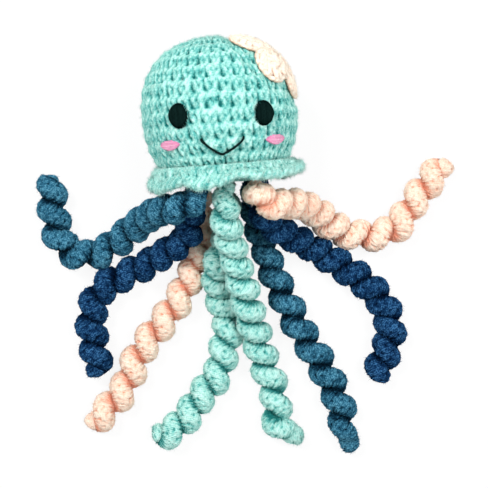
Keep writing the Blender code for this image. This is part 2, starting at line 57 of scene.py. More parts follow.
# Degrees from the face's middle, then hanging length and reach from the head's axis in mm, fold by fold
FRILL_FOLDS = (
    (-90, 8.5, 34.2), (-72, 11.2, 35), (-59, 12.2, 35), (-45, 10.2, 34.2), (-33, 8.6, 33.2),
    (-19, 11.6, 35), (-5, 10.2, 34.5), (12, 6.6, 33.2), (27, 8.2, 34.5), (46, 8.2, 34.8),
    (62, 7.6, 34.5), (78, 6.6, 36.2), (93, 5.4, 36.5), (110, 8.2, 34.2), (126, 10.4, 35.2),
    (142, 8.2, 33.8), (158, 10.4, 35), (176, 8.2, 33.6), (194, 10.4, 35), (212, 8.2, 33.6),
    (230, 10.4, 35), (250, 8.4, 33.8),
)

# Each arm's bearing on the base, and its places: mm right and up from the middle of the arms'
# ring, and height in arm thicknesses above the floor
ARMS = {
    "aqua_right": (90, (
        (0, -13, 2.9), (2, -24, 2.35), (5, -36, 1.85), (8, -47, 1.4), (11, -59, 0.88),
        (14.2, -70, 0.36), (17.2, -81, 0.06), (21, -92, 0), (24, -103, 0), (24, -111, 0),
        (29, -117.5, 0), (37, -118, 0))),
    "peach_right": (45, (
        (14, -6, 2.95), (19, -9.5, 2.9), (25.2, -10.3, 2.5), (31.4, -9.6, 1.95), (38.4, -11.3, 1.25),
        (46, -16.2, 0.58), (55, -22, 0.1), (65, -24, 0), (74, -23, 0), (82, -19, 0), (87, -11, 0),
        (92, -4, 0), (99, 5, 0), (105, 12, 0))),
    "navy_right": (0, (
        (17, -12, 1.6), (20, -18, 1.27), (26, -22, 0.92), (34, -26, 0.48), (42, -30, 0.12),
        (50, -35, 0), (59, -41, 0), (68, -48, 0), (75, -57, 0), (78, -67, 0), (77, -76, 0),
        (74, -84, 0), (72, -93, 0))),
    "steel_right": (-45, (
        (13, -8, 0.55), (14, -15, 0.2), (16, -23, 0), (19, -32, 0), (23, -43, 0), (29, -56, 0),
        (36, -70, 0), (43, -81, 0), (49, -92, 0), (54, -104, 0), (56, -116, 0), (61, -126, 0))),
    "aqua_left": (-90, (
        (0.5, -14, 0.8), (0, -26, 0.8), (-4, -37, 0.72), (-4, -46, 0.3), (-2, -56, 0.02), (1, -67, 0),
        (-1, -78, 0), (-4, -90, 0), (-11, -99, 0), (-17, -108, 0), (-26, -117, 0), (-35, -119, 0))),
    "peach_left": (-135, (
        (-12, -9, 0.55), (-12.5, -15, 0.25), (-12.5, -22, 0.02), (-13, -30, 0), (-17, -43, 0),
        (-23, -55, 0), (-30, -65, 0), (-38, -75, 0), (-44, -86, 0), (-48, -96, 0), (-56, -106, 0),
        (-65, -115, 0))),
    "navy_left": (180, (
        (-16, -12, 1.65), (-16, -19, 1.35), (-18.5, -25.5, 1.02), (-25, -30, 0.7), (-33, -35, 0.3),
        (-41, -39.3, 0.02), (-50, -43.5, 0), (-58.2, -48.5, 0), (-63, -57, 0), (-64, -68, 0),
        (-62, -79, 0), (-61, -91, 0))),
    "steel_left": (135, (
        (-12, -7, 2.92), (-16.5, -11, 2.88), (-22.5, -12.5, 2.6), (-29, -13, 2.05), (-36, -16, 1.32),
        (-42, -20, 0.76), (-50, -26, 0.3), (-59.2, -31.8, 0.05), (-69.5, -33.2, 0), (-78.5, -27, 0),
        (-81.5, -15, 0), (-83, -5, 0), (-83, 5, 0))),
}

# Each arm's length in mm for one turn where it lies free, and the share of a turn that it starts with
LOOSE_TURNS = {
    "aqua_right": (12.7, 0.92), "aqua_left": (11.3, 0.92), "peach_right": (12.4, 0.75),
    "peach_left": (13.0, 0.33), "navy_right": (11.0, 0.02), "navy_left": (11.5, 0.67),
    "steel_right": (13.2, 0.96), "steel_left": (12.4, 0.02),
}

# Arms whose coil runs out over a longer tail than the others', in mm
STRAIGHT_TAILS = {"aqua_right": 17, "steel_right": 21}

# Degrees round the head from its face, and above its widest round
EYES = {"eye_left": (-28.5, -2.6), "eye_right": (32.6, -5.0)}
CHEEKS = {"cheek_left": (-40.5, -21.6), "cheek_right": (44.0, -23.0)}
SMILE = ((-13.7, -19.6), (-10.6, -23.0), (-6.6, -26.4), (-2.8, -28.9), (0.6, -30.2),
         (4.0, -29.0), (9.2, -26.4), (13.4, -23.6), (16.6, -20.0))
FLOWER = (76.0, 41.0)
PETALS = (-40, -112, 170, 100, 30)

# Rings of slanting loops on the flower: how many, from and to which share of the way to its edge, and
# how many degrees each slants
FLOWER_RINGS = ((12, 0.04, 0.36, 40.0), (22, 0.26, 0.58, -26.0),
                (30, 0.46, 0.78, 20.0), (36, 0.68, 0.97, -15.0))

# The two legs of one stitch of the base: across in stitch widths, up in rounds, height of the
# strand's middle (0 is deep in the fabric, 1 its crest) and half the strand's width in stitch widths
UPRIGHT_LEG = ((0.285, -0.10, 0.30, 0.10), (0.265, 0.08, 0.75, 0.135), (0.225, 0.25, 0.97, 0.17),
               (0.20, 0.45, 1.00, 0.20), (0.18, 0.72, 0.96, 0.25), (0.17, 0.98, 0.90, 0.27),
               (0.17, 1.16, 0.25, 0.22))
BROAD_LEG = ((0.73, -0.10, 0.30, 0.12), (0.72, 0.08, 0.78, 0.16), (0.70, 0.25, 1.00, 0.245),
             (0.67, 0.45, 1.04, 0.32), (0.665, 0.72, 1.00, 0.38), (0.66, 0.98, 0.93, 0.40),
             (0.64, 1.16, 0.30, 0.32))

# The hollows round one stitch of the head. Each is a line between two places, across in stitch widths
# from the stitch's slit and down in rounds, then its half-width, its depth as a share of the relief,
# and how much painted shade darkens its heart
HOLLOWS = (
    ((0.05, 0.85), (0.06, 0.88), 0.078, 0.95, 1.00),
    ((0.08, 0.91), (0.27, 0.92), 0.046, 0.50, 0.70),
    ((0.05, 0.84), (-0.04, 0.22), 0.042, 0.75, 0.85),
    ((0.05, 0.84), (-0.04, 0.12), 0.130, 0.25, 0.18),
    ((0.43, 0.38), (0.54, 0.56), 0.048, 0.55, 0.66),
    ((0.54, 0.56), (0.58, 0.88), 0.085, 0.30, 0.22),
)

# The hollows beside one stitch of an arm, in the same way, but down in radians round the strand from
# its crest
ARM_HOLLOWS = (
    ((0.00, 1.60), (0.00, 0.50), 0.085, 1.00, 0.70),
    ((0.00, 0.52), (0.46, 0.06), 0.080, 0.75, 0.56),
    ((0.00, 0.52), (-0.36, 0.16), 0.075, 0.60, 0.48),
    ((0.50, 1.30), (0.46, 0.62), 0.080, 0.60, 0.50),
)

# How far stitches stray: across, down and in force
HEAD_STRAY = (0.050, 0.040, 0.20)
ARM_STRAY = (0.07, 0.07, 0.25)

# Angles round an arm's strand from its crest, closer together where they are seen
STRAND_SECTION = (-3.1, -2.6, -2.2, *np.linspace(-1.95, 1.95, 29), 2.2, 2.6)


def length(name, value, words):
    return FloatProperty(name=name, description=words, default=value, min=0.0, unit="LENGTH", precision=5)


def amount(name, value, words):
    return FloatProperty(name=name, description=words, default=value)


def tally(name, value, words):
    return IntProperty(name=name, description=words, default=value, min=1)


def tilt(name, degrees, words):
    return FloatProperty(name=name, description=words, default=math.radians(degrees), subtype="ANGLE")


def colour(name, value, words):
    return FloatVectorProperty(name=name, description=words, default=value, size=3,
                               subtype="COLOR", min=0.0, max=1.0)


class OctopusHeadSizes(bpy.types.PropertyGroup):
    radius: length("Radius", 0.0353, "Axis to the widest round")
    crown_height: length("Crown height", 0.0335, "Widest round to the crown")
    lower_height: length("Lower height", 0.0367, "Widest round to where the lower curve would close")
    fullness: amount("Fullness", 2.35, "2 gives an ellipse, more a fuller curve")
    fabric: length("Fabric", 0.0030, "Thickness of the crocheted shell")
    opening_drop: length("Opening", 0.0306, "Widest round down to the opening's edge")
    sink: length("Sink", 0.0015, "How far the soft head is pressed flat where it rests")
    turn: tilt("Turn", 4.5, "How far the crown leans to the left")
    nod: tilt("Nod", 5.0, "How far the crown is raised off the floor")
    stitches: tally("Stitches", 36, "Single crochets in a full round")
    round_height: length("Round height", 0.00678, "From one round to the next")
    first_round: amount("First round", 0.32, "Share of the first round that the crown lacks")
    first_slit: amount("First slit", 1.44, "Place of the first round's slit, in stitches")
    slit_drift: amount("Slit drift", 0.18, "How far each round's slits lie to the left of the last")
    relief: length("Relief", 0.0016, "How deep the hollows between the stitches are")
    band: length("Band", 0.0004, "How much lower the fabric lies between two rounds")
    bumps: length("Bumps", 0.00009, "How uneven the soft yarn is")
    fibres: tally("Loose fibres", 12000, "How many stand off the head")
    base_thickness: length("Base thickness", 0.0031, "Of the round that closes the opening")
    gap: length("Seam", 0.0003, "Room between pieces that are sewn together")


class OctopusFrillSizes(bpy.types.PropertyGroup):
    drop: length("Drop", 0.0232, "Widest round down to the frill's seam")
    thickness: length("Thickness", 0.0028, "Of the frill's fabric")
    pressed: length("Pressed", 0.0018, "Thickness where it is pressed on the floor")
    flare: amount("Flare", 1.4, "1 gives a straight slope, more a flare nearer the edge")
    stitches: tally("Stitches", 46, "Stitches in a round of the frill")
    rounds: tally("Rounds", 2, "Rounds from the frill's seam to its lip")
    edge_loops: tally("Edge loops", 42, "Turns of the roped lip")
    groove: length("Groove", 0.0008, "How deep the hollows between the stitches are")
    bumps: length("Bumps", 0.00026, "How uneven the soft yarn is")
    lip: length("Lip", 0.0023, "Half the thickness of the roped lip")
    fibres: tally("Loose fibres", 11000, "How many stand off the frill")


class OctopusArmSizes(bpy.types.PropertyGroup):
    ring: length("Ring", 0.0160, "Head's axis to an arm's start on the base")
    strand: length("Strand", 0.0048, "The crocheted strand's radius where the arms lie close")
    coil: length("Coil", 0.0020, "An arm's axis to its strand's middle")
    loose_strand: length("Loose strand", 0.0047, "The strand's radius where an arm lies free")
    loose_coil: length("Loose coil", 0.0029, "The coil where an arm lies free")
    loose_start: length("Loose from", 0.034, "Along the arm, where it begins to widen")
    loose_length: length("Widens over", 0.030, "Over which it widens")
    pitch: length("Pitch", 0.0106, "Along the arm, for one turn")
    neck: length("Neck", 0.014, "Over which an arm swells from its seam")
    neck_share: amount("Neck share", 0.62, "Of the full coil, at the seam")
    tail: length("Tail", 0.007, "Over which the coil runs out at the tip")
    tail_radius: length("Tail radius", 0.0042, "At the tip")
    stitch: length("Stitch", 0.00118, "Along the arm, from one stitch to the next")
    row: length("Row", 0.000175, "Along the arm, from one row of its surface's points to the next")
    tip: length("Tip", 0.0036, "Over which the strand is rounded at the arm's tip")
    bulge: length("Bulge", 0.0004, "How far the yarn's crests stand off the coil")
    groove: length("Groove", 0.0010, "How deep the hollows between the stitches are")
    bumps: length("Bumps", 0.00010, "How uneven the soft yarn is")
    fibres: tally("Loose fibres", 38000, "How many stand off each metre of arm")


class OctopusFaceSizes(bpy.types.PropertyGroup):
    eye_width: length("Eye width", 0.0090, "Across the satin stitches")
    eye_height: length("Eye height", 0.0104, "Along the satin stitches")
    eye_thickness: length("Eye thickness", 0.0012, "How proud the eyes stand")
    cheek_width: length("Cheek width", 0.0108, "Along the satin stitches")
    cheek_height: length("Cheek height", 0.0040, "Across the satin stitches")
    cheek_thickness: length("Cheek thickness", 0.0008, "How proud the cheeks stand")
    smile_thread: length("Smile thread", 0.0010, "Thickness of the smile's thread")


class OctopusFlowerSizes(bpy.types.PropertyGroup):
    petal_reach: length("Petal reach", 0.0222, "Flower's middle to a petal's tip")
    petal_radius: length("Petal radius", 0.0082, "Of a petal's round end")
    heart: length("Heart", 0.0146, "Radius of the round that the petals grow from")
    thickness: length("Thickness", 0.0020, "Of the flower's fabric")
    dent: length("Dent", 0.0016, "How far the soft head gives under the flower")
    fade: length("Fade", 0.0060, "From the petals' tips to where the dent ends")
    seat: length("Seat", 0.0003, "Under the flower, over the head's stitches")
    fibres: tally("Loose fibres", 6000, "How many stand off the flower")


class OctopusColours(bpy.types.PropertyGroup):
    # Each yarn has its own colour, a deep colour painted as shade between its stitches, and a pale colour
    # painted as the highlight on its lit crests and loose fibres
    aqua: colour("Aqua", (0.375, 0.725, 0.655), "Head, frill and two arms")
    aqua_painted_shade: colour("Aqua, deep", (0.010, 0.17, 0.16), "Between the aqua stitches")
    aqua_painted_highlight: colour("Aqua, pale", (0.68, 0.93, 0.86), "Loose aqua fibres in the light")
    peach: colour("Peach", (0.95, 0.71, 0.56), "Flower and two arms")
    peach_painted_shade: colour("Peach, deep", (0.80, 0.29, 0.18), "Between the peach stitches")
    peach_painted_highlight: colour("Peach, pale", (0.98, 0.90, 0.77), "Loose peach fibres in the light")
    navy: colour("Navy", (0.006, 0.034, 0.100), "Two arms")
    navy_painted_shade: colour("Navy, deep", (0.001, 0.005, 0.018), "Between the navy stitches")
    navy_painted_highlight: colour("Navy, pale", (0.048, 0.170, 0.360), "Loose navy fibres in the light")
    steel: colour("Steel blue", (0.026, 0.128, 0.212), "Two arms")
    steel_painted_shade: colour("Steel blue, deep", (0.001, 0.008, 0.018), "Between the steel-blue stitches")
    steel_painted_highlight: colour("Steel blue, pale", (0.120, 0.360, 0.500), "Loose steel-blue fibres in the light")
    black: colour("Black", (0.001, 0.004, 0.004), "Eyes and smile")
    pink: colour("Pink", (0.72, 0.20, 0.40), "Cheeks")
    wadding: colour("Wadding", (0.86, 0.85, 0.82), "Filling")


SIZE_GROUPS = {
    "octopus_head": OctopusHeadSizes, "octopus_frill": OctopusFrillSizes,
    "octopus_arm": OctopusArmSizes, "octopus_face": OctopusFaceSizes,
    "octopus_flower": OctopusFlowerSizes, "octopus_colours": OctopusColours,
}


def unit(vectors):
    return vectors / np.maximum(np.linalg.norm(vectors, axis=-1, keepdims=True), 1e-12)


def smooth(share):
    share = np.clip(share, 0, 1)
    return share * share * (3 - 2 * share)


def curve_through(knots, count):
    """Evenly spaced rows on a smooth curve through rows of numbers."""
    knots = np.asarray(knots, float)
    ends = np.vstack([2 * knots[0] - knots[1], knots, 2 * knots[-1] - knots[-2]])
    share = np.linspace(0, len(knots) - 1, count)
    k = np.minimum(share.astype(int), len(knots) - 2)
    t = (share - k)[:, None]
    a, b, c, d = ends[k], ends[k + 1], ends[k + 2], ends[k + 3]
    square, cube = 2 * a - 5 * b + 4 * c - d, 3 * b - a - 3 * c + d
    return 0.5 * (2 * b + (c - a) * t + square * t ** 2 + cube * t ** 3)


class HeadForm:
    """The stuffed head's shape: a full curve turned about the crown's direction, dented by the flower."""

    def __init__(self, scene):
        self.sizes = sizes = scene.octopus_head
        self.flower = scene.octopus_flower
        turn, nod = sizes.turn, sizes.nod
        self.right = np.array((math.cos(turn), math.sin(turn), 0))
        self.crown = np.array((-math.sin(turn), math.cos(turn), 0)) * math.cos(nod)
        self.crown[2] = math.sin(nod)
        self.face = np.cross(self.right, self.crown)
        self.middle = np.array((0, 0, sizes.radius - sizes.sink))
        self.rises = np.linspace(math.pi / 2, self.rise_at_drop(sizes.opening_drop), 600)
        reach = self.reach(self.rises)
        profile = np.stack([np.cos(self.rises) * reach, np.sin(self.rises) * reach], 1)
        self.along = np.concatenate([[0], np.cumsum(np.linalg.norm(np.diff(profile, axis=0), axis=1))])
        self.length = self.along[-1]

    def reach(self, rise):
        """From the head's middle to its surface, at an angle above the widest round."""
        sizes = self.sizes
        across = np.abs(np.cos(rise)) / sizes.radius
        height = np.where(np.asarray(rise) > 0, sizes.crown_height, sizes.lower_height)
        along = np.abs(np.sin(rise)) / height
        return (across ** sizes.fullness + along ** sizes.fullness) ** (-1 / sizes.fullness)

    def rise_at_drop(self, drop):
        low, high = -math.pi / 2, 0.0
        for _ in range(50):
            middle = (low + high) / 2
            if -math.sin(middle) * self.reach(middle) > drop:
                low = middle
            else:
                high = middle
        return low

    def rise_at(self, distance):
        """The angle above the widest round, this far down the surface from the crown."""
        return np.interp(distance, self.along, self.rises)

    def axis_radius(self, drop):
        rise = self.rise_at_drop(drop)
        return math.cos(rise) * float(self.reach(rise))

    def outward(self, around):
        """Directions off the head's axis, at angles round from the face."""
        return self.right * np.sin(around)[..., None] + self.face * np.cos(around)[..., None]

    def way(self, around, rise):
        """Directions from the head's middle, at angles round from the face and above the widest round."""
        around, rise = np.broadcast_arrays(around, rise)
        return self.outward(around) * np.cos(rise)[..., None] + self.crown * np.sin(rise)[..., None]

    def surface(self, way, lift=0.0):
        """Places on the head in directions from its middle, with the flower's dent and lifted off it."""
        rise = np.arcsin(np.clip(way @ self.crown, -1, 1))
        middle = self.way(*np.radians(FLOWER))
        off = np.arccos(np.clip(way @ middle, -1, 1)) * self.sizes.radius - self.flower.petal_reach
        give = self.flower.dent * smooth(1 - off / self.flower.fade)
        return self.middle + way * (self.reach(rise) - give + lift)[..., None]

    def place(self, around, rise, lift=0.0):
        return self.surface(self.way(around, rise), lift)

    def rest(self, points, floor=0.0):
        """Presses what would reach below the floor onto it."""
        points[..., 2] = np.maximum(points[..., 2], floor)
        return points

    def level(self, drop, radius, angle):
        """Points round the head's axis at a drop below the widest round."""
        across = self.outward(angle) * np.asarray(radius)[..., None]
        return self.middle - self.crown * np.asarray(drop)[..., None] + across

    def patch(self, place):
        """Out, up and sideways directions at a place on the head."""
        out = self.way(*np.radians(place))
        up = unit(self.crown - out * (out @ self.crown))
        return out, up, np.cross(up, out)

    def over(self, patch, side, up, lift):
        """Places this far along the head from a patch's middle."""
        out, upward, sideways = patch
        side, up, lift = np.broadcast_arrays(*(np.asarray(v, float) for v in (side, up, lift)))
        distance = np.hypot(side, up)
        across = sideways * side[..., None] + upward * up[..., None]
        across = across / np.maximum(distance, 1e-9)[..., None]
        turn = (distance / self.sizes.radius)[..., None]
        return self.surface(out * np.cos(turn) + across * np.sin(turn), lift)

    def base_top(self):
        """Drop and radius of the opening's inner edge."""
        rise = self.rise_at_drop(self.sizes.opening_drop)
        reach = float(self.reach(rise)) - self.sizes.fabric
        return -math.sin(rise) * reach + 0.2 * MM, math.cos(rise) * reach


class Yarn:
    """Gathers strands and sheets into one mesh, mapped along and round each strand."""

    uneven = 0.08 * MM  # how far a strand's surface strays

    def __init__(self, seed, tone=0.5):
        self.tone = tone
        self.points, self.faces, self.maps, self.depths, self.tones, self.roots = [], [], [], [], [], []
        self.count = 0
        self.chance = np.random.default_rng(seed)

    def tubes(self, paths, outs, wide, thick, sides=8, crest=1.0):
        """Strands along paths (strand, step, xyz). Each has its broad side turned outward.
        crest is how far up out of the fabric each step is, from 0 to 1, and scales the strand's painted
        light."""
        paths, outs = np.asarray(paths, float), np.asarray(outs, float)
        count, steps = paths.shape[:2]
        ahead = unit(np.gradient(paths, axis=1))
        side = unit(np.cross(ahead, outs))
        out = np.cross(side, ahead)
        angle = -math.pi / 2 + 2 * math.pi * np.arange(sides) / sides
        wide = np.broadcast_to(wide, (count, steps))[:, :, None]
        thick = np.broadcast_to(thick, (count, steps))[:, :, None]
        height = np.sin(angle)
        ring = (paths[:, :, None] + side[:, :, None] * (wide * np.cos(angle))[..., None]
                + out[:, :, None] * (thick * height)[..., None])
        ring = ring + out[:, :, None] * self.chance.normal(0, self.uneven, (count, steps, sides, 1))
        crest = np.broadcast_to(crest, (count, steps))[:, :, None]
        # Painted light: each strand is painted lighter on its top and darker down its sides, and darker
        # still where crest is low
        depth = crest * np.maximum(height, 0) ** 0.6
        shown = (depth > 0.3).ravel()
        away = unit(ring - paths[:, :, None]).reshape(-1, 3)
        self.roots.append((ring.reshape(-1, 3)[shown], away[shown],
                           np.repeat(ahead.reshape(-1, 3), sides, 0)[shown]))
        tone = np.broadcast_to(self.tone - 0.5 + self.chance.random(count)[:, None, None], depth.shape)
        gone = np.linalg.norm(np.diff(paths, axis=1), axis=2)
        along = np.concatenate([np.zeros((count, 1)), np.cumsum(gone, axis=1)], 1)
        along = along + self.chance.random(count)[:, None] * 0.05
        index = self.count + np.arange(count * steps * sides).reshape(count, steps, sides)
        first, second = index[:, :-1], index[:, 1:]
        quads = np.stack([first, second, np.roll(second, -1, 2), np.roll(first, -1, 2)], -1)
        start, end = along[:, :-1, None], along[:, 1:, None]
        low = np.arange(sides) / sides
        high = low + 1 / sides
        corners = np.stack([np.stack(np.broadcast_arrays(*corner), -1) for corner in (
            (start, low), (end, low), (end, high), (start, high))], -2)
        self.add(ring.reshape(-1, 3), quads.reshape(-1, 4), corners.reshape(-1, 4, 2),
                 depth.ravel(), tone.ravel())
        for ends in (index[:, 0], index[:, -1, ::-1]):
            self.faces.append(ends)
            self.maps.append(np.zeros((count, sides, 2)))

    def fuzz(self, count, long, half=0.1 * MM):
        """Fine loose fibres that lie along and stand off the yarn, each drawn to a point."""
        roots, away, ahead = (np.concatenate(part) for part in zip(*self.roots))
        pick = self.chance.integers(0, len(roots), count)
        roots, away, ahead = roots[pick], away[pick], ahead[pick]
        stray = self.chance.normal(0, 1, (count, 3))
        lean = self.chance.normal(0, 1.1, (count, 1))
        # Most lie along the yarn, and a few stand off it
        way = unit(away * (0.12 + 0.35 * self.chance.random((count, 1))) + ahead * lean + stray * 0.45)
        side = unit(np.cross(way, away + stray * 0.1))
        other = np.cross(way, side)
        angle = 2 * math.pi * np.arange(3) / 3
        star = side[:, None] * np.cos(angle)[None, :, None] + other[:, None] * np.sin(angle)[None, :, None]
        low = (roots - away * half - way * half * 2)[:, None] + star * half
        tip = roots + way * long * (0.4 + 1.0 * self.chance.random((count, 1)))
        points = np.concatenate([low, tip[:, None]], 1)
        index = self.count + np.arange(count * 4).reshape(count, 4)
        faces = index[:, np.array(((0, 1, 3), (1, 2, 3), (2, 0, 3), (2, 1, 0)))].reshape(-1, 3)
        place = np.repeat(self.chance.random(count) * 0.05, 12).reshape(-1, 3)
        tone = np.repeat(self.tone - 0.75 + 1.5 * self.chance.random(count), 4)
        maps = np.stack([place, place * 0 + 0.5], -1)
        # The fibres are painted in full light, each with its own tone
        self.add(points.reshape(-1, 3), faces, maps, np.full(count * 4, 1.0), tone)

    def add(self, points, faces, maps, depth, tone):
        """Points with their painted light and tone, and faces with their corners' maps."""
        self.points.append(points)
        self.faces.append(faces)
        self.maps.append(maps)
        self.depths.append(depth)
        self.tones.append(tone)
        self.count += len(points)

    def grid(self, points, depth=0.0, maps=None, ring=False):
        """A sheet of points (row, column, xyz) joined across, and up too where it is a ring."""
        points = np.asarray(points, float)
        rows, columns = points.shape[:2]
        index = self.count + np.arange(rows * columns).reshape(rows, columns)
        a, b = (index, np.roll(index, -1, 0)) if ring else (index[:-1], index[1:])
        quads = np.stack([a, np.roll(a, -1, 1), np.roll(b, -1, 1), b], -1).reshape(-1, 4)
        maps = points[..., :2] if maps is None else maps
        depth = np.broadcast_to(depth, (rows, columns)).ravel()
        self.add(points.reshape(-1, 3), quads, maps.reshape(-1, 2)[quads - self.count],
                 depth, np.full(rows * columns, 0.5))
        return index

    def closed(self, points, **settings):
        """A sheet closed at both ends with a face each."""
        index = self.grid(points, **settings)
        for ends in (index[:1, ::-1], index[-1:]):
            self.faces.append(ends)
            self.maps.append(np.zeros((1, ends.shape[1], 2)))

    def make(self, name, node, slot, finish=None):
        """One object of all that was gathered, which stands for a CAD node."""
        mesh = bpy.data.meshes.new(name)
        points = np.concatenate(self.points).astype(np.float32)
        points[:, 2] = np.maximum(points[:, 2], 0.0)
        loops = np.concatenate([f.ravel() for f in self.faces]).astype(np.int32)
        totals = np.concatenate([np.full(len(f), f.shape[1]) for f in self.faces]).astype(np.int32)
        starts = np.concatenate([[0], np.cumsum(totals)[:-1]]).astype(np.int32)
        mesh.vertices.add(len(points))
        mesh.vertices.foreach_set("co", points.ravel())
        mesh.loops.add(len(loops))
        mesh.loops.foreach_set("vertex_index", loops)
        mesh.polygons.add(len(starts))
        mesh.polygons.foreach_set("loop_start", starts)
        mesh.polygons.foreach_set("loop_total", totals)
        mesh.update(calc_edges=True)
        mesh.validate()
        layer = mesh.uv_layers.new(name="strand")
        flat = np.concatenate([m.reshape(-1, 2) for m in self.maps]).astype(np.float32)
        if len(flat) == len(mesh.loops):
            layer.data.foreach_set("uv", flat.ravel())
        # Each point keeps its painted light and its tone for the finish
        for key, values in (("depth", self.depths), ("tone", self.tones)):
            mark = mesh.attributes.new(key, "FLOAT", "POINT")
            mark.data.foreach_set("value", np.concatenate(values).astype(np.float32))
        mesh.shade_smooth()
        mesh.materials.append(finish or named_finish(slot))
        made = bpy.data.objects.new(name, mesh)
        bpy.context.scene.collection.objects.link(made)
        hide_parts(node)
        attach(made, "root")
        return made


def sums(operation):
    """An operator and its reflected form, each of which adds a Math node."""
    def forward(self, other):
        return self.finish.node("ShaderNodeMath", {"operation": operation}, {0: self, 1: other})

    def reflected(self, other):
        return self.finish.node("ShaderNodeMath", {"operation": operation}, {0: other, 1: self})

    return forward, reflected


class Socket:
    """A node's output that takes part in sums."""

    def __init__(self, finish, output):
        self.finish, self.output = finish, output

    __add__, __radd__ = sums("ADD")
    __sub__, __rsub__ = sums("SUBTRACT")
    __mul__, __rmul__ = sums("MULTIPLY")
    __truediv__, __rtruediv__ = sums("DIVIDE")

    def sine(self):
        return self.finish.node("ShaderNodeMath", {"operation": "SINE"}, {0: self})

    def wave(self):
        """0 to 1 and back, once for each whole number."""
        return (self * (2 * math.pi)).sine() * 0.5 + 0.5


class Finish:
    """A material and the nodes that make it."""

    def __init__(self, name):
        self.material = bpy.data.materials.new(name)
        self.material.use_nodes = True
        self.tree = self.material.node_tree
        self.shader = self.tree.nodes["Principled BSDF"]

    def node(self, kind, settings=None, sockets=None, output=0):
        """A node of one type, its settings first and then its sockets' values and links."""
        made = self.tree.nodes.new(kind)
        for name, value in (settings or {}).items():
            if name == "stops":
                ramp = made.color_ramp.elements
                while len(ramp) < len(value):
                    ramp.new(1.0)
                for element, (position, shade) in zip(ramp, value):
                    element.position, element.color = position, shade
            else:
                setattr(made, name, value)
        for key, value in (sockets or {}).items():
            self.join(made.inputs[key], value)
        return Socket(self, made.outputs[output])

    def join(self, socket, value):
        if isinstance(value, Socket):
            self.tree.links.new(value.output, socket)
        elif isinstance(value, (tuple, list)) and len(value) == 3 and socket.type == "RGBA":
            socket.default_value = (*value, 1.0)
        else:
            socket.default_value = value

    def mix(self, factor, first, second):
        """A colour mixed from two."""
        return self.node("ShaderNodeMix", {"data_type": "RGBA"},
                         {0: factor, 6: first, 7: second}, output=2)

    def strand(self):
        """Places along and round a strand."""
        parts = self.node("ShaderNodeUVMap", {"uv_map": "strand"})
        parts = self.node("ShaderNodeSeparateXYZ", None, {0: parts})
        return parts, Socket(self, parts.output.node.outputs[1])

    def mark(self, name):
        """A value stored on the mesh's points."""
        return self.node("ShaderNodeAttribute", {"attribute_name": name}, output=2)

    def noise(self, vector, scale, detail=2.0, roughness=0.5):
        return self.node("ShaderNodeTexNoise", {"noise_dimensions": "3D"},
                         {"Vector": vector, "Scale": scale, "Detail": detail, "Roughness": roughness})

    def set(self, **values):
        for name, value in values.items():
            self.join(self.shader.inputs[name.replace("_", " ").title()], value)


def yarn_finish(name, crest, deep, pale, shine, grain, ply=4.0 * MM, plies=4.0, relief=0.55 * MM):
    """Twisted, fuzzy yarn: plies round each strand, fine fibres, painted shade in the crevices and a
    painted highlight on the lit crests.
    """
    finish = Finish(name)
    along, around = finish.strand()
    twist = along / ply + around * plies
    plies_wave = twist.wave()
    position = finish.node("ShaderNodeTexCoord", output=3)
    lay = finish.node("ShaderNodeCombineXYZ", None, {0: along * 300.0, 1: twist * 2.6, 2: around * 2.0})
    fibres = finish.noise(lay, 2.2, 3.0, 0.7)
    flecks = finish.noise(position, 1300.0, 2.0, 0.6)
    clouds = finish.noise(position, 170.0, 2.0, 0.5)
    # A colour between the yarn's own and its painted shade
    middle = tuple((c * c * d) ** (1 / 3) for c, d in zip(crest, deep))
    # Painted light: crests are painted lightest and crevices darkest, then come the fibres' grain, soft
    # clouds and the plies' painted shading
    light = finish.mark("depth") * 0.70 + (fibres * 0.6 + flecks * 1.4 - 1.0) * grain
    light = light + (clouds - 0.5) * 0.30 + (plies_wave - 0.5) * 0.15 + (finish.mark("tone") - 0.5) * 0.20
    # The ramp runs from painted shade through a half-shade and the yarn's own colour to a painted
    # highlight
    stops = ((0.0, (*deep, 1.0)), (0.30, (*middle, 1.0)), (0.60, (*crest, 1.0)), (0.95, (*pale, 1.0)))
    lit = finish.node("ShaderNodeValToRGB", {"stops": stops}, {0: light})
    height = plies_wave * 0.22 + fibres * 0.5 + flecks * 1.1
    bump = finish.node("ShaderNodeBump", None, {"Strength": 1.0, "Distance": relief, "Height": height})
    finish.set(base_color=lit, normal=bump, roughness=0.95)
    finish.shader.inputs["Specular IOR Level"].default_value = shine
    return finish.material


def thread_finish(name, shade, painted_sheen, gloss):
    """Embroidery thread: fine plies, and a soft painted sheen along each strand, strongest on its crest.
    """
    finish = Finish(name)
    along, around = finish.strand()
    ply, plies = 1.6 * MM, 3.0
    wave = (along / ply + around * plies).wave()
    position = finish.node("ShaderNodeTexCoord", output=3)
    flecks = finish.noise(position, 2600.0, 2.0, 0.6)
    # The painted sheen: ply stripes, flecks and each strand's tone, scaled by its painted light
    shine = wave * 0.3 + (flecks - 0.3) * 1.0 + finish.mark("tone") * 0.35
    lit = finish.mix(finish.mark("depth") * shine, shade, painted_sheen)
    bump = finish.node("ShaderNodeBump", None,
                       {"Strength": 0.7, "Distance": 0.12 * MM, "Height": wave * 0.7 + flecks * 0.5})
    finish.set(base_color=lit, normal=bump, roughness=1.0 - gloss)
    finish.shader.inputs["Specular IOR Level"].default_value = 0.0
    return finish.material


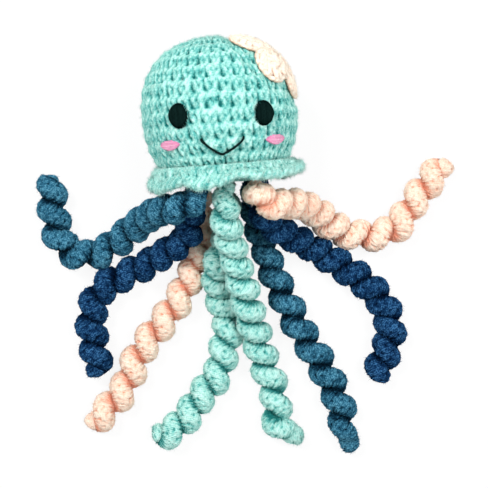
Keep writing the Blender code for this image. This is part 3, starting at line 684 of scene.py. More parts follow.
def named_finish(slot):
    """The material of a yarn or thread, made the first time it is asked for."""
    name = "crocheted " + slot if slot.endswith("yarn") else "stitched " + slot
    if name in bpy.data.materials:
        return bpy.data.materials[name]
    colours = bpy.context.scene.octopus_colours
    pick = slot.split("_")[0]
    shade = tuple(getattr(colours, pick))
    if slot.endswith("yarn"):
        # The deep colour is painted shade, and the pale one a painted highlight
        deep, pale = tuple(getattr(colours, pick + "_painted_shade")), tuple(getattr(colours, pick + "_painted_highlight"))
        grain = 1.05 if pick in ("navy", "steel") else 0.60
        return yarn_finish(name, shade, deep, pale, 0.10 * shade[1], grain)
    if pick == "black":
        # The black thread's painted sheen is a faint green, a painted reflection of the aqua yarn about it
        return thread_finish(name, shade, (0.008, 0.026, 0.023), 0.30)
    # The pink thread's painted sheen is a paler pink highlight
    return thread_finish(name, shade, (1.0, 0.72, 0.85), 0.35)


def stitches_in(number, rounds, full):
    """Single crochets in a round: six more each time from the crown, fewer in the last two."""
    if number == rounds - 1:
        return full * 2 // 3
    if number == rounds - 2:
        return full * 5 // 6
    return min(full, 6 * (number + 1))


def stitch_round(yarn, place, count, top, height, phase, thick, relief, jitter):
    """A round of single crochets. place(across, distance, lift) gives points on the fabric, with across
    in stitches and distance from the round's middle; each stitch has an upright and a broad leg."""
    for leg in (UPRIGHT_LEG, BROAD_LEG):
        across, up, rise, half = curve_through(leg, 9).T
        k = np.arange(count)[:, None]
        wander = yarn.chance.normal(0, jitter, (count, 4))
        u = k + phase + across + wander[:, :1]
        v = top + height * (1 - up * (1 + wander[:, 1:2]))
        lift = (rise - 1) * relief + wander[:, 2:3] * thick
        paths, outs, width = place(u, v, lift - thick)
        half = half * (1 + wander[:, 3:4])
        # Each strand is painted darker where it dips deep into the fabric
        yarn.tubes(paths, outs, half * width, thick * (0.75 + 0.25 * rise), sides=7,
                   crest=np.clip(0.30 + 0.75 * rise, 0, 1))


def pressed(lines, x, y, force):
    """How deep the hollows are, and how much painted shade darkens them, at places across and down from a
    stitch's slit.
    """
    deep, painted_darkness = 0.0, 0.0
    for (x0, y0), (x1, y1), half, press, shade in lines:
        run, drop = x1 - x0, y1 - y0
        share = np.clip(((x - x0) * run + (y - y0) * drop) / (run * run + drop * drop), 0, 1)
        near = ((x - x0 - share * run) ** 2 + (y - y0 - share * drop) ** 2) / (2 * half * half)
        mark = np.exp(-near) * (1 - 0.45 * share) * force
        deep, painted_darkness = deep + mark * press, painted_darkness + mark * shade
    return deep, painted_darkness


def round_hollows(chance, around, down, rounds):
    """The hollows in a sheet of angles round the head and rounds down it, with the painted shade in them.
    Each round has its number, its count of stitches and the place of its first slit."""
    deep, painted_darkness = np.zeros((2, len(down), len(around)))
    for number, count, first in rounds:
        rows = np.abs(down - number) < 0.85
        t = (down[rows] - number + 0.5)[:, None]
        u = around[None] * count / (2 * math.pi) - first
        stray = chance.normal(0, 1, (count, 3)) * np.array(HEAD_STRAY)
        for step in (-1, 0, 1):
            k = np.floor(u) + step
            side, fall, force = (stray[k.astype(int) % count][..., i] for i in range(3))
            more = pressed(HOLLOWS, u - k - side, t - fall, 1 + force)
            deep[rows] += more[0]
            painted_darkness[rows] += more[1]
    return deep, painted_darkness


def soft_bumps(chance, shape, passes=3):
    """Smooth random unevenness over a sheet that closes across."""
    bumps = chance.normal(0, 1, shape)
    for _ in range(passes):
        bumps = (bumps + np.roll(bumps, 1, 1) + np.roll(bumps, -1, 1)
                 + np.vstack([bumps[:1], bumps[:-1]]) + np.vstack([bumps[1:], bumps[-1:]])) / 5
    return bumps / bumps.std()


class OCTOPUS_OT_head(bpy.types.Operator):
    """Build the head's shell of single crochets, with its lining side"""
    bl_idname = "octopus.head"
    bl_label = "Head"

    def execute(self, context):
        form, sizes = HeadForm(context.scene), context.scene.octopus_head
        yarn = Yarn(11)
        height = sizes.round_height
        last = math.ceil(form.length / height + sizes.first_round - 0.5)
        along = np.linspace(0.4 * MM, form.length, round(form.length / height * HEAD_ROWS))
        down = along / height + sizes.first_round
        around = math.pi + 2 * math.pi * np.arange(HEAD_COLUMNS) / HEAD_COLUMNS
        rounds = [(number, stitches_in(number, last + 1, sizes.stitches),
                   sizes.first_slit - sizes.slit_drift * number) for number in range(last + 1)]
        deep, painted_darkness = round_hollows(yarn.chance, around, down, rounds)
        bumps = soft_bumps(yarn.chance, deep.shape)
        # The fabric is lowest between two rounds, and its shade a little beside that
        valley = 0.5 + 0.5 * np.cos(2 * math.pi * (down - 0.44))[:, None]
        shadow = 0.5 - 0.5 * np.cos(2 * math.pi * (down + 0.38))[:, None]
        lift = -sizes.relief * np.minimum(deep, 1.2) - sizes.band * valley + sizes.bumps * (bumps - 2.0)
        outer = form.rest(form.place(around[None], form.rise_at(along)[:, None], lift))
        inner_rise = form.rise_at(np.linspace(form.length, 0.6 * MM, LINING_ROWS))[:, None]
        inner = form.rest(form.place(around[None], inner_rise, -sizes.fabric), sizes.fabric)
        # Painted light: a band of painted shade between the rounds, the hollows' painted shade, raised
        # bumps painted lighter, and the lining side in full painted shade
        light = 0.78 - 0.12 * shadow - 0.75 * painted_darkness + 0.12 * bumps
        light = np.vstack([np.clip(light, 0, 1), np.zeros((LINING_ROWS, len(around)))])
        across = around * sizes.stitches / (2 * math.pi)
        along = np.concatenate([along, np.linspace(form.length, 0.0, LINING_ROWS)])
        maps = np.stack(np.broadcast_arrays(along[:, None], across * 0.5), -1)
        yarn.closed(np.vstack([outer, inner]), depth=light, maps=maps)
        raised = (painted_darkness < 0.5) & (outer[..., 2] > 2 * MM)
        ahead = unit(np.gradient(outer, axis=0))
        yarn.roots.append((outer[raised], unit(outer - form.middle)[raised], ahead[raised]))
        yarn.fuzz(sizes.fibres, 1.6 * MM)
        made = yarn.make("head_stitches", "head_cover", "aqua_yarn")
        return {"FINISHED"}


class OCTOPUS_OT_base(bpy.types.Operator):
    """Build the crocheted round that closes the head and carries the arms"""
    bl_idname = "octopus.base"
    bl_label = "Base"

    def execute(self, context):
        form, sizes = HeadForm(context.scene), context.scene.octopus_head
        yarn = Yarn(12)
        drop, radius = form.base_top()
        radius -= sizes.gap
        bottom = drop + sizes.base_thickness
        rounds, thick = 3, 1.1 * MM
        for number in range(rounds):
            count = 8 * (number + 1)

            def place(u, v, lift):
                reach = np.clip(v, 0.4 * MM, radius - 0.6 * MM) + 0 * u
                points = form.level(bottom + lift + 0 * reach, reach, 2 * math.pi * u / count)
                return points, np.broadcast_to(-form.crown, points.shape), 2 * math.pi * reach / count

            stitch_round(yarn, place, count, number * radius / rounds, radius / rounds, 0.2 * number,
                         thick, 1.0 * MM, 0.03)
        angle = 2 * math.pi * np.arange(48) / 48
        heart = sizes.base_thickness - thick
        profile = ((0.0, 0.02), (0.0, 0.96), (0.6 * MM, 1.0),
                   (heart - 0.3 * MM, 1.0), (heart, 0.96), (heart, 0.02))
        rings = [form.level(drop + down + 0 * angle, radius * share + 0 * angle, angle)
                 for down, share in profile]
        # The base's sheet is painted in near-full shade
        yarn.closed(np.array(rings), depth=0.05)
        yarn.make("base_stitches", "base_disc", "aqua_yarn")
        return {"FINISHED"}


class OCTOPUS_OT_filling(bpy.types.Operator):
    """Build the fibrefill that the head is stuffed with"""
    bl_idname = "octopus.filling"
    bl_label = "Filling"

    def execute(self, context):
        form, sizes = HeadForm(context.scene), context.scene.octopus_head
        chance = np.random.default_rng(5)
        yarn = Yarn(13)
        drop, radius = form.base_top()
        around = 2 * math.pi * np.arange(64) / 64
        rise = form.rise_at(np.linspace(0.6 * MM, form.length * 0.93, 36))[:, None]
        down = np.linspace(0, math.pi, len(rise))[:, None]
        lumps, waves = 0.0, 18
        for _ in range(waves):
            across, turns, start = chance.integers(2, 14), chance.integers(2, 11), chance.random() * 6.3
            lumps = lumps + np.sin(around * across + down * turns + start) / waves
        lift = (1.2 * lumps - 0.9) * MM - sizes.fabric
        sheet = form.rest(form.place(around[None], rise, lift), sizes.fabric + 0.6 * MM)
        low = form.level(drop - 0.4 * MM + 0 * around, radius - 1.2 * MM + 0 * around, around)
        yarn.closed(np.concatenate([sheet, low[None]])[::-1], depth=1.0)
        finish = Finish("wadding")
        position = finish.node("ShaderNodeTexCoord", output=3)
        wisps = finish.noise(position, 420.0, 4.0, 0.7)
        shade = tuple(context.scene.octopus_colours.wadding)
        finish.set(base_color=finish.mix(wisps, tuple(0.8 * c for c in shade), shade), roughness=1.0,
                   normal=finish.node("ShaderNodeBump", None, {"Distance": 0.6 * MM, "Height": wisps}))
        made = yarn.make("filling", "head_stuffing", "wadding", finish.material)
        return {"FINISHED"}


def fold_at(angle):
    """The frill's hanging length and reach at angles in degrees, read smoothly between its folds."""
    folds = sorted((a % 360, down, reach) for a, down, reach in FRILL_FOLDS)
    folds = np.array([(folds[-1][0] - 360, *folds[-1][1:])] + folds + [(folds[0][0] + 360, *folds[0][1:])])
    angle = np.asarray(angle) % 360
    k = np.clip(np.searchsorted(folds[:, 0], angle) - 1, 0, len(folds) - 2)
    share = (angle - folds[k, 0]) / (folds[k + 1, 0] - folds[k, 0])
    share = (1 - np.cos(math.pi * share)) / 2
    return tuple((folds[k, c] + (folds[k + 1, c] - folds[k, c]) * share) * MM for c in (1, 2))


class FrillForm:
    """The frill's cloth: places at an angle, a share of its length down, and a height off its middle."""

    def __init__(self, form, sizes, gap):
        self.form, self.sizes = form, sizes
        self.half = sizes.thickness / 2
        self.root = form.axis_radius(sizes.drop) + gap + self.half

    def middle(self, angle, share):
        """Radius and drop of the cloth's middle."""
        down, reach = fold_at(np.degrees(angle))
        run = reach - self.half - self.root
        radius = self.root + run * np.clip(share, 0, None) ** self.sizes.flare
        return radius, self.sizes.drop + (down - self.half) * share

    def place(self, angle, share, lift):
        """lift is off the cloth's middle, outward if positive. Also gives the ways out and down."""
        angle, share, lift = np.broadcast_arrays(angle, share, lift)
        radius, drop = self.middle(angle, share)
        after_radius, after_drop = self.middle(angle, share + 0.02)
        slope = unit(np.stack([after_radius - radius, after_drop - drop], -1))
        across = self.form.outward(angle)
        out = across * slope[..., 1:] + self.form.crown * slope[..., :1]
        down = across * slope[..., :1] - self.form.crown * slope[..., 1:]
        points = self.form.level(drop, radius, angle) + out * lift[..., None]
        return self.form.rest(points, self.sizes.pressed * np.where(lift > 0, 0.25, 0.75)), out, down


class OCTOPUS_OT_frill(bpy.types.Operator):
    """Build the ruffled frill round the lower edge of the head"""
    bl_idname = "octopus.frill"
    bl_label = "Frill"
    lip_share = 0.84  # of the frill's hanging length, where the lip's middle is

    def rope(self, sizes, angle, section, bumps):
        """The roped lip's half thickness and light at angles round the frill and round its section."""
        turn = angle * sizes.edge_loops + 0.8 * np.sin(angle * 9) + 1.4 * section
        swell = (0.5 + 0.5 * np.cos(turn + 0.5 * bumps)) ** 0.6
        half = sizes.lip * (0.78 + 0.20 * swell + 0.05 * bumps)
        return half, np.clip(0.56 + 0.30 * swell + 0.12 * bumps, 0, 1)

    def execute(self, context):
        scene = context.scene
        form, sizes = HeadForm(scene), scene.octopus_frill
        cloth = FrillForm(form, sizes, scene.octopus_head.gap)
        yarn = Yarn(14, tone=0.7)
        angle = math.pi + 2 * math.pi * np.arange(FRILL_COLUMNS) / FRILL_COLUMNS
        share = np.linspace(0, self.lip_share, FRILL_ROWS)[:, None]
        down = share[:, 0] * sizes.rounds + 0.5
        rounds = [(number, sizes.stitches, 0.37 * number) for number in range(1, sizes.rounds + 1)]
        to_root = 1 - smooth(share / 0.22)
        to_lip = smooth((share - 0.56) / 0.28)
        swell = 0.8 * MM * smooth((share - 0.35) / 0.40)
        bumps = soft_bumps(yarn.chance, (2 * FRILL_ROWS + LIP_ROWS, FRILL_COLUMNS), 7)
        parts = []
        for face, rough in ((1, bumps[:FRILL_ROWS]), (-1, bumps[:-FRILL_ROWS - 1:-1])):
            deep, painted_darkness = round_hollows(yarn.chance, angle, down, rounds)
            section = (share - self.lip_share) * 8.5
            section = section if face > 0 else math.pi - section
            rope, rope_light = self.rope(sizes, angle, section, rough)
            lift = cloth.half - 0.2 * MM + swell - sizes.groove * np.minimum(deep, 1.1)
            lift = lift + sizes.bumps * (rough - 2)
            lift = face * np.maximum(lift + (rope - lift) * to_lip, 0.3 * MM)
            # The root is drawn in, and sits on the head's stitches
            points, out, below = cloth.place(angle, share, lift - 1.4 * MM * to_root)
            # Painted light: the hollows painted into shade and raised bumps painted lighter, blending into
            # the lip's painted light
            light = np.clip(0.76 - 0.42 * painted_darkness + 0.12 * rough, 0, 1)
            light = light + (rope_light - light) * to_lip
            parts.append((points, light, section))
            if face > 0:
                shown = light > 0.4
                yarn.roots.append((points[shown], out[shown], below[shown]))
        # The lip is a rope whose turns run slantwise round the edge
        section = math.pi * np.arange(1, LIP_ROWS + 1)[:, None] / (LIP_ROWS + 1)
        rope, rope_light = self.rope(sizes, angle, section, bumps[FRILL_ROWS:-FRILL_ROWS])
        edge, out, below = cloth.place(angle, self.lip_share, 0 * section)
        away = out * np.cos(section)[..., None] + below * np.sin(section)[..., None]
        points = form.rest(edge + away * rope[..., None])
        yarn.roots.append(tuple(part.reshape(-1, 3) for part in (points, away, below)))
        outer, inner = parts
        rows = (outer, (points, rope_light, section), [part[::-1] for part in inner])
        sheet, light, section = (np.vstack(part) for part in zip(*rows))
        maps = np.stack(np.broadcast_arrays(section * 1.18 * MM, angle * sizes.stitches / 12.6), -1)
        yarn.grid(sheet, light, maps, ring=True)
        yarn.fuzz(sizes.fibres, 1.6 * MM)
        yarn.make("frill", "skirt", "aqua_yarn")
        return {"FINISHED"}


def smooth_path(route, lead, step):
    """Evenly spaced points on a smooth curve through the route, which sets out along lead."""
    places = np.array(route)
    count = len(places)
    knots = np.concatenate([[0], np.cumsum(np.linalg.norm(np.diff(places, axis=0), axis=1) ** 0.5)])
    spans = np.diff(knots)
    slopes = np.diff(places, axis=0) / spans[:, None]
    matrix, target = np.zeros((count, count)), np.zeros((count, 3))
    matrix[0, :2] = 2 * spans[0], spans[0]
    target[0] = 6 * (slopes[0] - lead * np.linalg.norm(slopes[0]))
    matrix[-1, -1] = 1
    for k in range(1, count - 1):
        matrix[k, k - 1:k + 2] = spans[k - 1], 2 * (spans[k - 1] + spans[k]), spans[k]
        target[k] = 6 * (slopes[k] - slopes[k - 1])
    bend = np.linalg.solve(matrix, target)
    fine = []
    for k in range(count - 1):
        x = (np.linspace(0, 1, 24, endpoint=False) * spans[k])[:, None]
        start = slopes[k] - spans[k] * (2 * bend[k] + bend[k + 1]) / 6
        sway = (bend[k + 1] - bend[k]) / (6 * spans[k])
        fine.append(places[k] + start * x + bend[k] / 2 * x ** 2 + sway * x ** 3)
    fine = np.concatenate(fine + [places[-1:]])
    along = np.concatenate([[0], np.cumsum(np.linalg.norm(np.diff(fine, axis=0), axis=1))])
    wanted = np.linspace(0, along[-1], max(2, round(along[-1] / step)) + 1)
    return np.stack([np.interp(wanted, along, fine[:, k]) for k in range(3)], 1), along[-1]


class ArmForm:
    """An arm's coiled strand: places along it and round its section."""

    def __init__(self, scene, name):
        bearing, places = ARMS[name]
        self.form = form = HeadForm(scene)
        self.sizes = sizes = scene.octopus_arm
        self.tail = STRAIGHT_TAILS[name] * MM if name in STRAIGHT_TAILS else sizes.tail
        loose_pitch, first_turn = LOOSE_TURNS[name]
        self.loose_pitch = loose_pitch * MM
        head = scene.octopus_head
        full = sizes.strand + sizes.coil
        bottom = form.base_top()[0] + head.base_thickness + head.gap
        middle = form.middle - form.crown * bottom
        angle = math.radians(bearing)
        route = [middle + (form.right * math.cos(angle) + form.face * math.sin(angle)) * sizes.ring]
        for x, y, level in places:
            height = full + level * (2 * full + head.gap)
            route.append(np.array((middle[0] + x * MM, middle[1] + y * MM, height)))
        path, self.length = smooth_path(route, -form.crown, 0.5 * MM)
        ahead = unit(np.gradient(path, axis=0))
        across = [unit(form.right - ahead[0] * (ahead[0] @ form.right))]
        for way in ahead[1:]:
            across.append(unit(across[-1] - way * (way @ across[-1])))
        self.path, self.ahead, self.across = path, ahead, np.array(across)
        self.beside = np.cross(ahead, self.across)
        self.steps = np.linspace(0, self.length, len(path))
        climb = self.pitch(self.steps)
        turns = np.cumsum(np.diff(self.steps) * 2 / (climb[1:] + climb[:-1]))
        self.turned = -2 * math.pi * (first_turn + np.concatenate([[0], turns]))

    def read(self, rows, s):
        return np.stack([np.interp(s, self.steps, rows[:, k]) for k in range(3)], -1)

    def loose(self, s):
        """From 0 where the coil is tight to 1 where the arm lies free."""
        return smooth((s - self.sizes.loose_start) / self.sizes.loose_length)

    def pitch(self, s):
        """Length of the arm for one turn of its coil, at a distance along it."""
        return self.sizes.pitch + (self.loose_pitch - self.sizes.pitch) * self.loose(s)

    def shape(self, s):
        """Strand and coil radius at a distance along the arm."""
        sizes, loose = self.sizes, self.loose(s)
        neck = sizes.neck_share + (1 - sizes.neck_share) * smooth(s / sizes.neck)
        tail = smooth((self.length - s) / self.tail)
        strand = (sizes.strand + (sizes.loose_strand - sizes.strand) * loose) * neck
        coil = (sizes.coil + (sizes.loose_coil - sizes.coil) * loose) * neck
        return sizes.tail_radius + (strand - sizes.tail_radius) * tail, coil * tail

    def middle(self, s):
        """The strand's middle and its crest's direction."""
        twist = np.interp(s, self.steps, self.turned)
        crest = (self.read(self.across, s) * np.cos(twist)[..., None]
                 + self.read(self.beside, s) * np.sin(twist)[..., None])
        return self.read(self.path, s) + crest * self.shape(s)[1][..., None], crest

    def place(self, s, section, sunk):
        """Places on the strand, an angle round its section from the crest and sunk below its surface."""
        s, section, sunk = np.broadcast_arrays(s, section, sunk)
        middle, crest = self.middle(s)
        ahead = unit(self.middle(s + 0.4 * MM)[0] - self.middle(s - 0.4 * MM)[0])
        crest = unit(crest - ahead * (crest * ahead).sum(-1, keepdims=True))
        side = np.cross(ahead, crest)
        out = crest * np.cos(section)[..., None] + side * np.sin(section)[..., None]
        return middle + out * (self.shape(s)[0] - sunk)[..., None], out


class OCTOPUS_OT_arms(bpy.types.Operator):
    """Build the eight corkscrew arms, each a coiled strand of stitches"""
    bl_idname = "octopus.arms"
    bl_label = "Arms"

    def execute(self, context):
        for number, name in enumerate(ARMS):
            self.build(context.scene, name, name.split("_")[0] + "_yarn", 20 + number)
        return {"FINISHED"}

    def build(self, scene, name, slot, seed):
        arm = ArmForm(scene, name)
        sizes = arm.sizes
        yarn = Yarn(seed)
        s = np.linspace(0, arm.length, round(arm.length / sizes.row))[:, None]
        section = np.array(STRAND_SECTION)[None]
        fold = np.abs(section)
        # The stitches on the strand's two sides lie half a stitch apart
        other = (section < 0).astype(int)
        u = s / sizes.stitch - 0.5 * other
        stray = yarn.chance.normal(0, 1, (int(arm.length / sizes.stitch) + 5, 2, 3)) * np.array(ARM_STRAY)
        deep, painted_darkness = 0.0, 0.0
        for near in (-1, 0, 1):
            k = np.floor(u) + near
            side, fall, force = np.moveaxis(stray[k.astype(int) + 2, other], -1, 0)
            more = pressed(ARM_HOLLOWS, u - k - side, fold - fall, 1 + force)
            deep, painted_darkness = deep + more[0], painted_darkness + more[1]
        bumps = soft_bumps(yarn.chance, deep.shape)
        strand, coil = arm.shape(s)
        # The strand is drawn in at its seam and rounded at its tip
        tip = np.clip((s - arm.length) / sizes.tip + 1, 0, 0.995)
        drawn = 1.2 * MM * smooth(1 - s / (1.4 * MM)) + strand * (1 - np.sqrt(1 - tip ** 2))
        sunk = sizes.groove * np.minimum(deep, 1.1) - sizes.bumps * bumps - sizes.bulge + drawn
        sheet, out = arm.place(s, section, sunk)
        sheet = arm.form.rest(sheet)
        # Painted light fades towards the side that the coil hides; the hollows are painted darker and
        # raised bumps lighter
        hidden = fold * np.clip(coil / (2.2 * MM), 0, 1)
        light = 0.98 * smooth((1.85 - hidden) / 1.15) - 0.72 * painted_darkness + 0.11 * bumps
        maps = np.stack(np.broadcast_arrays(section * 4.7 * MM, s / MM), -1)
        yarn.closed(sheet, depth=np.clip(light, 0, 1), maps=maps)
        raised = (light > 0.35) & (sheet[..., 2] > MM)
        yarn.roots.append((sheet[raised], out[raised], unit(np.gradient(sheet, axis=1))[raised]))
        yarn.fuzz(round(arm.length * sizes.fibres), 1.3 * MM)
        yarn.make("arm_" + name + "_yarn", "arm_" + name, slot)


def satin(yarn, form, place, width, height, thickness, gap, count, upright, seed):
    """Parallel threads laid over an oval pad, longest in its middle. upright ones run up and down."""
    patch = form.patch(place)
    chance = np.random.default_rng(seed)
    across, along = (width, height) if upright else (height, width)
    fullness = 2.3 if upright else 1.5
    pitch = across / count
    half = pitch * 0.56
    offset = ((np.arange(count) + 0.5) * pitch - across / 2)[:, None]
    off = np.abs(offset / (across / 2))
    reach = along / 2 * np.maximum(1 - off ** fullness, 0.03) ** 0.5
    reach = reach + chance.normal(0, 0.06 * MM, (count, 1))
    run = np.linspace(-1, 1, 13)[None]
    lean = chance.normal(0, 0.05, (count, 1)) * pitch
    main = run * reach
    cross = offset * (1 + 0.02 * np.cos(run * 3)) + lean * run
    dome = np.sqrt(np.maximum(1 - 0.75 * off ** 2, 0.05)) * (1 - np.abs(run) ** 4)
    lift = gap + half * 0.55 + (thickness - half * 0.9) * dome - 0.5 * MM * (np.abs(run) > 0.99)
    side, up = (cross, main) if upright else (main, cross)
    points = form.over(patch, side, up, lift)
    # The threads are painted lighter towards the top of the dome
    yarn.tubes(points, unit(points - form.middle), half * (0.75 + 0.25 * dome ** 0.3), half * 0.8,
               sides=7, crest=dome)
    ring = 2 * math.pi * np.arange(28) / 28
    pad = [form.over(patch, width / 2 * share * np.cos(ring), height / 2 * share * np.sin(ring), lift)
           for share, lift in ((0.86, gap * 0.4), (0.84, gap + thickness * 0.3),
                               (0.5, gap + thickness * 0.55), (0.04, gap + thickness * 0.6))]
    # The pad under the threads is painted in part shade
    yarn.closed(np.array(pad), depth=0.3)


class OCTOPUS_OT_face(bpy.types.Operator):
    """Embroider the eyes, the cheeks and the smile"""
    bl_idname = "octopus.face"
    bl_label = "Face"

    def execute(self, context):
        scene = context.scene
        form, sizes, gap = HeadForm(scene), scene.octopus_face, scene.octopus_head.gap
        eye = (sizes.eye_width, sizes.eye_height, sizes.eye_thickness, gap, 18, True, 7)
        cheek = (sizes.cheek_width, sizes.cheek_height, sizes.cheek_thickness, gap, 9, False, 9)
        for places, oval, slot, seed in ((EYES, eye, "black_thread", 31),
                                         (CHEEKS, cheek, "pink_thread", 32)):
            for name, place in places.items():
                yarn = Yarn(seed)
                satin(yarn, form, place, *oval)
                yarn.make(name + "_threads", name, slot)
        yarn = Yarn(33)
        around, rise = curve_through(np.radians(SMILE), 49).T
        run = np.linspace(0, 1, 49)
        half = sizes.smile_thread / 2
        # The thread's ends go down into the head, and its left end is thicker
        ends = smooth((0.03 - run) / 0.03) + smooth((run - 0.97) / 0.03)
        points = form.place(around, rise, gap + half - 0.9 * MM * ends)
        width = half * (1.0 + 0.5 * smooth((0.12 - run) / 0.12))
        yarn.tubes(points[None], unit(points - form.middle)[None], width[None], half, sides=10)
        yarn.make("smile_thread", "smile", "black_thread")
        return {"FINISHED"}


class OCTOPUS_OT_flower(bpy.types.Operator):
    """Build the crocheted flower sewn on the head"""
    bl_idname = "octopus.flower"
    bl_label = "Flower"

    def edge(self, sizes, bearing):
        """From the flower's middle to its edge on bearings in degrees."""
        middle = sizes.petal_reach - sizes.petal_radius
        reach = np.full(np.shape(bearing), sizes.heart)
        for petal in PETALS:
            off = np.radians(bearing - petal)
            room = sizes.petal_radius ** 2 - (middle * np.sin(off)) ** 2
            tip = middle * np.cos(off) + np.sqrt(np.maximum(room, 0))
            reach = np.where((room > 0) & (np.cos(off) > 0), np.maximum(reach, tip), reach)
        return reach

    def execute(self, context):
        scene = context.scene
        form, sizes = HeadForm(scene), scene.octopus_flower
        patch = form.patch(FLOWER)
        yarn = Yarn(15, tone=1.9)
        top = sizes.seat + sizes.thickness

        def place(bearing, distance, lift):
            turn = np.radians(bearing)
            points = form.over(patch, distance * np.sin(turn), distance * np.cos(turn), lift)
            return points, unit(points - form.middle)

        thick = 0.7 * MM
        run = np.linspace(0, 1, 8)[None]
        swell = np.sin(np.pi * np.clip(0.08 + 0.88 * run, 0, 1)) ** 0.6
        slim = 0.8 + 0.2 * swell
        for loops, start, end, slant in FLOWER_RINGS:
            wander = yarn.chance.normal(0, 1, (loops, 3))
            bearing = (np.arange(loops)[:, None] + wander[:, :1] * 0.20) * 360 / loops
            bearing = bearing + slant * (run - 0.5)
            distance = (self.edge(sizes, bearing) - 0.6 * MM) * (start + (end - start) * run)
            lift = top - thick - 0.6 * MM * (1 - swell) + wander[:, 2:3] * 0.14 * MM
            points, outs = place(bearing, distance, lift)
            wide = np.clip(distance * math.pi / loops * 1.2, 0.5 * MM, 1.8 * MM)
            # The loops are painted a little lighter where they swell
            yarn.tubes(points, outs, wide * slim, thick * slim, sides=7, crest=0.85 + 0.15 * swell)
        # A row of overlapping loops runs round the edge
        bearings = np.linspace(0, 360, 721)
        rim, _ = place(bearings, self.edge(sizes, bearings), 0.0)
        gone = np.concatenate([[0], np.cumsum(np.linalg.norm(np.diff(rim, axis=0), axis=1))])
        links = round(gone[-1] / (3.1 * MM))
        along = np.linspace(0, 1, 7)[None]
        hump = np.sin(np.pi * along)
        where = (np.arange(links)[:, None] + along * 1.25) % links
        bearing = np.interp(where * gone[-1] / links, gone, bearings)
        inset = (1.1 - 0.4 * hump) * MM
        points, outs = place(bearing, self.edge(sizes, bearing) - inset, top - (1.7 - 0.2 * hump) * MM)
        # The rim's loops are painted lighter on their humps
        yarn.tubes(points, outs, (0.9 + 0.3 * hump) * MM, (0.7 + 0.3 * hump) * MM,
                   sides=7, crest=0.9 + 0.1 * hump)
        yarn.fuzz(sizes.fibres, 1.5 * MM)
        ring = np.linspace(0, 360, 145)[:-1]
        reach = self.edge(sizes, ring)
        under = sizes.seat * 0.5
        sheet = [place(ring, reach * share - inset, lift)[0] for share, inset, lift in (
            (0.05, 0, under), (0.6, 0, under), (1.0, 1.4 * MM, under),
            (1.0, 1.0 * MM, top - 1.2 * MM), (0.6, 0, top - 1.0 * MM), (0.05, 0, top - 1.2 * MM))]
        # The sheet under the loops is painted in half shade
        yarn.closed(np.array(sheet), depth=0.5)
        yarn.make("flower_stitches", "flower", "peach_yarn")
        return {"FINISHED"}


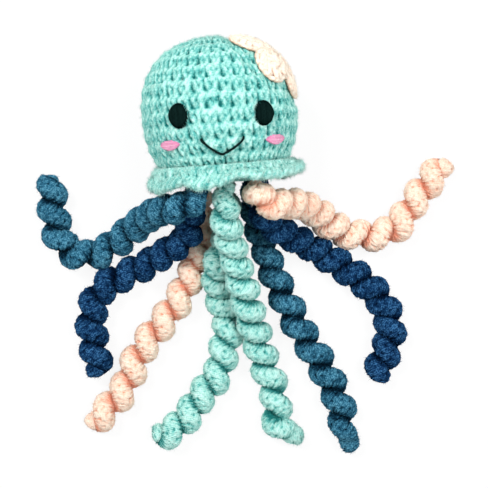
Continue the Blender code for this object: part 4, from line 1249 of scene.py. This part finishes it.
class OCTOPUS_OT_stage(bpy.types.Operator):
    """Set up the pale floor, the soft lamps and the camera"""
    bl_idname = "octopus.stage"
    bl_label = "Stage"
    sensor = 36.0
    seen_from, seen_width = 0.467, 0.2196  # camera to the widest round, and the picture's width there
    floor_reach = 3.0

    def lamp(self, name, place, size, power, aim=(0.0, -0.06, 0.02)):
        """A round soft lamp, turned to the toy."""
        data = bpy.data.lights.new(name, "AREA")
        data.shape, data.size, data.energy = "DISK", size, power
        made = bpy.data.objects.new(name, data)
        bpy.context.scene.collection.objects.link(made)
        made.location = place
        made.rotation_mode = "QUATERNION"
        made.rotation_quaternion = (Vector(aim) - Vector(place)).to_track_quat("-Z", "Y")

    def execute(self, context):
        scene = context.scene
        mesh = bpy.data.meshes.new("floor")
        far = self.floor_reach
        corners = ((-far, -far, 0), (far, -far, 0), (far, far, 0), (-far, far, 0))
        mesh.from_pydata(corners, [], [(0, 1, 2, 3)])
        floor = bpy.data.objects.new("floor", mesh)
        scene.collection.objects.link(floor)
        finish = Finish("floor")
        finish.set(base_color=(0.86, 0.86, 0.86), roughness=0.9)
        finish.shader.inputs["Specular IOR Level"].default_value = 0.0
        seen = finish.node("ShaderNodeLightPath").output.node.outputs
        straight, glossy, through = (Socket(finish, seen[ray]) for ray in (
            "Is Camera Ray", "Is Glossy Ray", "Is Transmission Ray"))
        direct = finish.node("ShaderNodeMath", {"operation": "MAXIMUM"}, {0: straight, 1: glossy})
        direct = finish.node("ShaderNodeMath", {"operation": "MAXIMUM"}, {0: direct, 1: through})
        white = finish.node("ShaderNodeEmission", None, {"Color": (1.0, 1.0, 1.0), "Strength": 1.0})
        plain = Socket(finish, finish.shader.outputs[0])
        mixed = finish.node("ShaderNodeMixShader", None, {0: direct * 0.90, 1: plain, 2: white})
        finish.tree.links.new(mixed.output, finish.tree.nodes["Material Output"].inputs["Surface"])
        mesh.materials.append(finish.material)

        scene.world = bpy.data.worlds.new("studio")
        scene.world.use_nodes = True
        back = scene.world.node_tree.nodes["Background"]
        back.inputs["Color"].default_value = (1.0, 1.0, 1.0, 1.0)
        back.inputs["Strength"].default_value = 0.46
        self.lamp("key", (-0.36, 0.30, 0.78), 0.35, 6.4)
        self.lamp("overhead", (0.42, 0.04, 0.80), 0.5, 5.3)

        data = bpy.data.cameras.new("camera")
        data.sensor_width = self.sensor
        data.lens = self.sensor * self.seen_from / self.seen_width
        data.clip_start, data.clip_end = 0.01, 20.0
        camera = bpy.data.objects.new("camera", data)
        camera.location = (0.011, -0.0594, 0.500)
        scene.collection.objects.link(camera)
        scene.camera = camera
        scene.view_settings.view_transform = "Standard"
        return {"FINISHED"}


class OCTOPUS_PT_panel(bpy.types.Panel):
    """Lists the steps that build the toy"""
    bl_idname = "OCTOPUS_PT_panel"
    bl_label = "Crochet octopus"
    bl_space_type = "VIEW_3D"
    bl_region_type = "UI"
    bl_category = "Octopus"

    def draw(self, context):
        for group in SIZE_GROUPS:
            box = self.layout.box()
            settings = getattr(context.scene, group)
            for name in settings.bl_rna.properties.keys():
                if name not in ("rna_type", "name"):
                    box.prop(settings, name)
        for step in STEPS:
            self.layout.operator(step.bl_idname)


STEPS = (OCTOPUS_OT_head, OCTOPUS_OT_base, OCTOPUS_OT_filling, OCTOPUS_OT_frill, OCTOPUS_OT_arms,
         OCTOPUS_OT_face, OCTOPUS_OT_flower, OCTOPUS_OT_stage)


def register():
    for group in (*SIZE_GROUPS.values(), *STEPS, OCTOPUS_PT_panel):
        bpy.utils.register_class(group)
    for name, group in SIZE_GROUPS.items():
        setattr(bpy.types.Scene, name, PointerProperty(type=group))


def unregister():
    for name in SIZE_GROUPS:
        delattr(bpy.types.Scene, name)
    for group in (OCTOPUS_PT_panel, *reversed(STEPS), *reversed(tuple(SIZE_GROUPS.values()))):
        bpy.utils.unregister_class(group)


def main():
    register()
    bpy.ops.octopus.head()
    bpy.ops.octopus.base()
    bpy.ops.octopus.filling()
    bpy.ops.octopus.frill()
    bpy.ops.octopus.arms()
    bpy.ops.octopus.face()
    bpy.ops.octopus.flower()
    bpy.ops.octopus.stage()
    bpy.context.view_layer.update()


if __name__ == "__main__":
    main()
